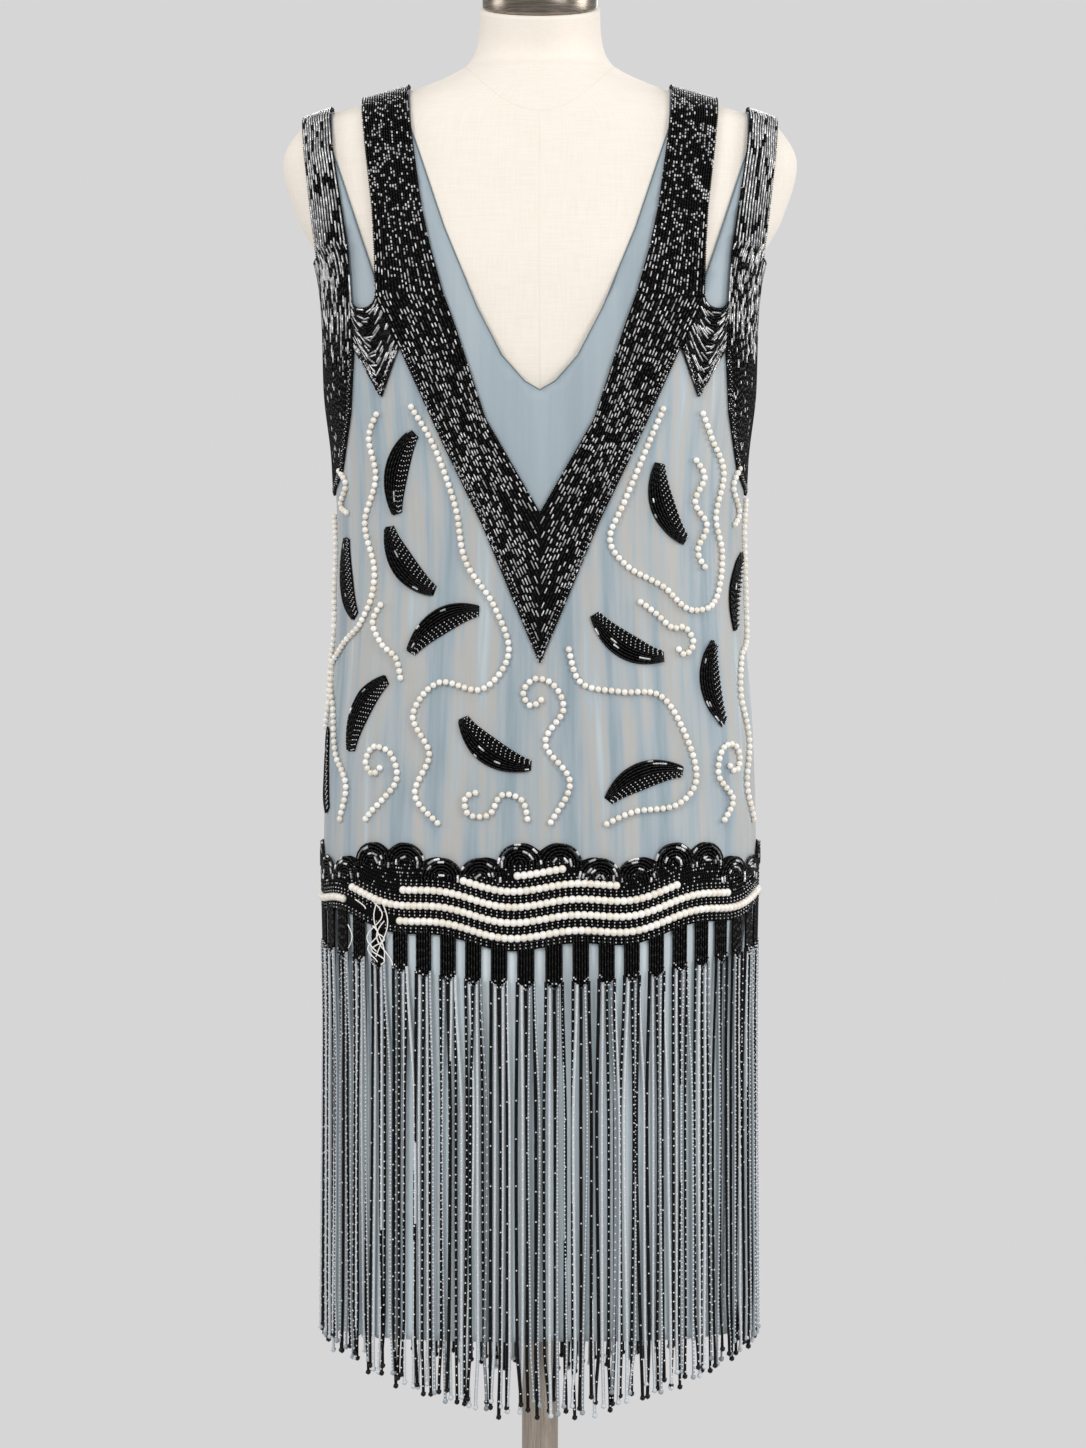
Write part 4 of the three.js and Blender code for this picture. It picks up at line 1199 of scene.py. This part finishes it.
def seed_string(points, normals, dotted, random):
    """One string of the band's larger seed beads, of which in a dotted one every other is bright."""
    middles, frames = string_row(
        points, normals, BAND_SEED_PITCH, BAND_SEED_PITCH, 0, BAND_SEED_RADIUS, random)
    shades = (dotted_shades(len(middles), random) if dotted
              else bead_shades(len(middles), BAND_SEED_BRIGHT, random))
    return SEED, middles, slim_glints(frames, shades, *SLIM_SEED), shades


def strung_tube(points, normals, radius, shade):
    """A thin tube along a path, as a group of one bead."""
    line, quads = tube_mesh(points, normals, radius, 4)
    halves = np.concatenate([quads[:, :3], quads[:, [0, 2, 3]]])
    return (line, halves), np.zeros((1, 3)), np.eye(3)[None], np.array([shade])


for half_name, back in HALVES:
    random = np.random.default_rng(51 + back)
    across = np.linspace(-1, 1, BAND_STEPS)
    upper = np.stack([across * QUARTER, level_of(band_top(across))], axis=1)
    lower = np.stack([across * QUARTER, level_of(band_bottom(across))], axis=1)
    outline = tidy_loop(np.concatenate([lower, upper[::-1]]), EDGE_STEP / 3)
    ground = cloth_panel(
        f"hem_band_{half_name}_ground", outline, YOKE_STEP, back, BAND_OFFSET, YOKE_THICK, bead_ground)
    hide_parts(f"hem_band_{half_name}")

    pearls, beads = [], []
    for row, reach in enumerate(PEARL_REACHES):
        height = band_bottom(across) + PEARL_ROW_LOW + row * PEARL_ROW_PITCH
        pearled = np.abs(across) <= reach
        if reach:
            points, normals = band_points(across[pearled], height[pearled], back, BAND_PEARL_OFFSET)
            middles, frames = string_row(
                points, normals, BAND_PEARL_PITCH, BAND_PEARL_PITCH, 0, BAND_PEARL_RADIUS, random)
            frames[:, :, 0] *= 2 * BAND_PEARL_RADIUS / BAND_PEARL_PITCH
            shades = random.random(len(middles))
            kept = back | (row > 0) | (np.abs(middles[:, 0] - WORN_MIDDLE) > WORN_REACH)
            pearls.append((PEARL, middles[kept], frames[kept], shades[kept]))
        for line in SEED_LINES:
            points, normals = band_points(across, height + line, back, BEAD_OFFSET)
            below_fans = height + line < band_line(across) - FAN_SINK / 2
            plain = below_fans & ~pearled
            dotted = below_fans & pearled & (line > BAND_PEARL_RADIUS)
            kinds = plain + 2 * dotted
            for run in np.split(np.arange(len(across)), np.flatnonzero(np.diff(kinds)) + 1):
                if kinds[run[0]] and len(run) > 3:
                    beads.append(seed_string(points[run], normals[run], kinds[run[0]] == 2, random))
    fan_turn = np.linspace(-FAN_TURN, FAN_TURN, FAN_STEPS)
    for number in range(SCALLOPS):
        middle = (2 * number + 1) / SCALLOPS - 1
        for arc in range(FAN_ARCS):
            radius = FAN_RADIUS * (arc + 1) / FAN_ARCS
            place = np.clip(middle + radius * np.sin(fan_turn) / QUARTER, -1, 1)
            height = band_line(middle) - FAN_SINK + radius * np.cos(fan_turn)
            lap = BEAD_OFFSET + FAN_LAP * (number % 2) + FAN_LIFT
            points, normals = band_points(place, height, back, lap)
            strung = string_row(points, normals, *FAN_BUGLES, BEAD_GAP, BUGLE_RADIUS * FAN_GIRTH, random)
            beads.append((BUGLE, *strung, bead_shades(len(strung[0]), FAN_BRIGHT, random)))
    if not back:
        front_x = band_points(across, band_bottom(across), back, 0)[0][:, 0]
        t = np.linspace(0, 1, THREAD_STEPS)
        for start, top, fall, sway, turn in LOOSE_THREADS:
            place = np.interp(start + sway * np.sin(turn * t), front_x, across)
            points, normals = band_points(place, top - fall * t, back, THREAD_OFFSET)
            pearls.append(strung_tube(points, normals, THREAD_RADIUS, 1.0))
    pearl_piece = bead_piece(f"hem_band_{half_name}_pearls", pearls, pearl_glass)
    band_beads = bead_piece(f"hem_band_{half_name}_beads", beads, black_glass)

# Bead fringe. Pointed tabs of upright black bugle beads on dark cloth hang from a narrow strip under the
# band, and six long strings of beads from each tab, by turns black and clear, each closed by a round bead.
TABS = 24
TAB_SHARE = 0.64
TAB_BOTTOM = 0.714
TAB_DIP = 0.026
TAB_POINT = 0.006
TAB_COLUMNS = 6
TAB_STEPS = 12
TAB_BUGLES = (0.005, 0.009)
TAB_GIRTH = 1.1
TIP_RISES = (-0.0006, 0.003)
TIP_BRIGHT = 0.4
STRIP_HEIGHT = 0.006
STRIP_STEPS = 145
STRIP_ROWS = (0.0014, 0.0041)
STRAND_ROOTS = (-0.30, -0.15, 0.0, 0.15, 0.30, 0.31)
STRAND_ENDS = (-1 / 3, -1 / 6, 0.0, 1 / 6, 1 / 3, 1 / 2)
SPREAD_SHARE = 0.35
STRAND_BOTTOM = 0.413
STRAND_DIP = 0.050
STRAND_UNEVEN = 0.005
STRAND_STEPS = 30
CURL_FROM = 0.86
DOT_RADIUS = 0.00078
DOT_LIFT = 0.85
STRAND_OFFSET = 0.0042
END_RADIUS = 0.0024
END_BALL = ball_shape(1)
# Strands: radius, shade, and the shortest and longest step between their bright dots, seed beads painted
# white as glints.
SOLID_STRAND = (0.0014, 0.1, 0.0120, 0.0400)
BLACK_STRAND = (0.00125, 0.1, 0.0050, 0.0090)
CLEAR_STRAND = (0.0013, 0.81, 0.0050, 0.0080)
SMOKY_STRAND = (0.0011, 0.61, 0.0050, 0.0080)
SILVER_STRAND = (0.0012, 0.66, 0.0022, 0.0040)
BLACK_KINDS = ((SOLID_STRAND, BLACK_STRAND), (0.45, 0.55))
PALE_KINDS = ((CLEAR_STRAND, SMOKY_STRAND, SILVER_STRAND), (0.6, 0.15, 0.25))
strand_glass = glass_beads("strung black and clear glass", [
    (0.0, "#030202"), (0.5, "#0c0a09"), (0.58, "#70787d"), (0.7, "#b4bdc3"), (0.84, "#d6dcdf"),
    (0.9, "#f2f3f3"), (1.0, "#ffffff")], 2.0, 0.2, 0.25)
for half_name, back in HALVES:
    random = np.random.default_rng(71 + back)
    pitch = 2 / TABS
    strip = np.linspace(-1, 1, STRIP_STEPS)
    tab_parts = []
    strip_top = band_bottom(strip) - SEAM_GAP
    rim = [band_points(strip, strip_top - drop, back, BAND_OFFSET)[0] for drop in (0, STRIP_HEIGHT)]
    k = np.arange(len(strip) - 1)
    tab_parts.append((
        np.concatenate(rim), np.stack([k + len(strip), k + len(strip) + 1, k + 1, k], axis=1)))
    tab_area = 2 * QUARTER * STRIP_HEIGHT
    tab_beads, strand_beads = [], []
    for drop in STRIP_ROWS:
        points, normals = band_points(strip, strip_top - drop, back, BEAD_OFFSET)
        tab_beads.append(seed_string(points, normals, True, random))
    for number in range(TABS):
        middle = (number + 0.5) * pitch - 1
        reach = TAB_SHARE * pitch / 2
        low = TAB_BOTTOM - TAB_DIP * middle_share(middle)
        columns = np.linspace(-1, 1, 5)
        tops = band_bottom(middle + columns * reach) - STRIP_HEIGHT / 2
        ends = low + TAB_POINT * np.abs(columns)
        tab_area += 2 * reach * QUARTER * np.mean(tops - STRIP_HEIGHT / 2 - ends)
        grid = [band_points(middle + columns * reach, tops + (ends - tops) * t, back, BAND_OFFSET)[0]
                for t in np.linspace(0, 1, 5)]
        k = (np.arange(4)[:, None] * 5 + np.arange(4)[None]).ravel()
        tab_parts.append((np.concatenate(grid), np.stack([k + 5, k + 6, k + 1, k], axis=1)))
        for column in (np.arange(TAB_COLUMNS) + 0.5) / TAB_COLUMNS * 2 - 1:
            place = middle + column * reach
            top = band_bottom(place) - SEAM_GAP
            heights = np.linspace(top, low + TAB_POINT * abs(column), TAB_STEPS)
            points, normals = band_points(np.full(TAB_STEPS, place), heights, back, BEAD_OFFSET)
            strung = string_row(points, normals, *TAB_BUGLES, BEAD_GAP, BUGLE_RADIUS * TAB_GIRTH, random)
            tab_beads.append((BUGLE, *strung, bead_shades(len(strung[0]), 0.0, random)))
        tip = np.linspace(-1, 1, 9)
        for rise in TIP_RISES:
            points, normals = band_points(
                middle + tip * reach, low + TAB_POINT * np.abs(tip) + rise, back, BEAD_OFFSET + SEED_RADIUS)
            strung = string_row(
                points, normals, 2 * SEED_RADIUS, 2 * SEED_RADIUS, SEED_GAP, SEED_RADIUS, random)
            tab_beads.append((SEED, *strung, bead_shades(len(strung[0]), TIP_BRIGHT, random)))
        for strand, (root_share, end_share) in enumerate(zip(STRAND_ROOTS, STRAND_ENDS)):
            kinds, shares = PALE_KINDS if strand % 2 else BLACK_KINDS
            radius, shade, shortest, longest = kinds[random.choice(len(kinds), p=shares)]
            root = middle + root_share * pitch
            end = middle + end_share * pitch + random.normal(0, 0.004)
            uneven = STRAND_UNEVEN * math.sin(number * 14.4 + strand * 2.4) + random.uniform(-0.003, 0.003)
            bottom = STRAND_BOTTOM - STRAND_DIP * middle_share(np.clip(end, -1, 1)) + uneven
            top = low + TAB_POINT * abs(root_share) * 2 / TAB_SHARE
            t = np.linspace(0, 1, STRAND_STEPS)
            sway = random.normal(0, 0.0035) * np.sin(t * math.pi * random.uniform(0.8, 1.6))
            curl = random.normal(0, 0.007) * smooth_step((t - CURL_FROM) / (1 - CURL_FROM))
            place = root + (end - root) * smooth_step(t / SPREAD_SHARE) + sway + curl
            depth = STRAND_OFFSET + random.normal(0, 0.0005) + random.normal(0, 0.001) * t
            points, normals = band_points(place, top + (bottom - top) * t, back, depth)
            whole = np.eye(3)[None]
            strand_beads.append(strung_tube(points, normals, radius, shade))
            # Bright dots: small seed beads on the strand, painted white as their glints, a painted
            # highlight.
            dots, _ = string_row(
                points + normals * radius * DOT_LIFT, normals, shortest, longest, 0, DOT_RADIUS, random)
            sizes = np.tile(whole * DOT_RADIUS, (len(dots), 1, 1))
            strand_beads.append((SEED, dots, sizes, random.uniform(0.9, 1.0, len(dots))))
            strand_beads.append((END_BALL, points[-1:], whole * END_RADIUS, np.array([shade])))
    tab_cloth = mesh_piece(f"fringe_{half_name}_tabs", *join_meshes(tab_parts), bead_ground)
    shell = tab_cloth.modifiers.new("thickness", "SOLIDIFY")
    shell.thickness = YOKE_THICK
    shell.offset = 0
    tab_bugles = bead_piece(f"fringe_{half_name}_tab_beads", tab_beads, black_glass)
    strands = bead_piece(f"fringe_{half_name}_strands", strand_beads, strand_glass)
    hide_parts(f"fringe_{half_name}")

# Studio. A plain pale floor under the stand, soft light from all round with a large key from the upper left,
# and the camera at the photograph's level view.
CAMERA_DISTANCE = 3.5
CAMERA_HEIGHT = 0.893
CAMERA_SIDE = 0.0024
FRAME_HEIGHT = 1.1584
SENSOR = 36.0
ROOM_LIGHT = 0.6
scene = bpy.context.scene
scene.view_settings.view_transform = "Standard"
world = bpy.data.worlds.new("studio")
scene.world = world
world.use_nodes = True
sky = world.node_tree.nodes["Background"]
sky.inputs["Color"].default_value = linear("#d7d6d7")
# The paper backdrop is lit more than the room, so it shows brighter than the light that it gives.
seen = world.node_tree.nodes.new("ShaderNodeLightPath")
strength = world.node_tree.nodes.new("ShaderNodeMapRange")
strength.inputs["To Min"].default_value = ROOM_LIGHT
world.node_tree.links.new(seen.outputs["Is Camera Ray"], strength.inputs["Value"])
world.node_tree.links.new(strength.outputs["Result"], sky.inputs["Strength"])
deselect()
bpy.ops.mesh.primitive_plane_add(size=3.0, location=(0, 0, -0.001))
floor = bpy.context.object
floor.name = "studio_floor"
pale_floor = new_material("pale studio floor")
add_node(pale_floor, "SHADER", {"Base Color": linear("#d8d8da"), "Roughness": 0.8})
floor.data.materials.append(pale_floor)
for name, spot, size, power in (
        ("key", (-1.5, -2.4, 2.3), 1.1, 32), ("fill", (1.9, -2.3, 1.6), 1.3, 27),
        ("top", (0.2, -1.4, 3.0), 1.0, 10), ("back", (0.3, 2.6, 2.2), 1.8, 26),
        ("left", (-2.2, 0.1, 1.5), 1.0, 10), ("right", (2.2, 0.1, 1.5), 1.0, 18)):
    light = bpy.data.lights.new(name, "AREA")
    light.size = size
    light.energy = power
    lamp = bpy.data.objects.new(name, light)
    scene.collection.objects.link(lamp)
    lamp.location = spot
    aim = np.array((0, 0, 0.95)) - spot
    lamp.rotation_euler = (
        math.atan2(math.hypot(aim[0], aim[1]), -aim[2]), 0, math.atan2(aim[1], aim[0]) - math.pi / 2)
camera_data = bpy.data.cameras.new("camera")
camera_data.sensor_width = SENSOR
camera_data.lens = SENSOR * CAMERA_DISTANCE / FRAME_HEIGHT
camera = bpy.data.objects.new("camera", camera_data)
scene.collection.objects.link(camera)
camera.location = (CAMERA_SIDE, -CAMERA_DISTANCE, CAMERA_HEIGHT)
camera.rotation_euler = (math.pi / 2, 0, 0)
scene.camera = camera
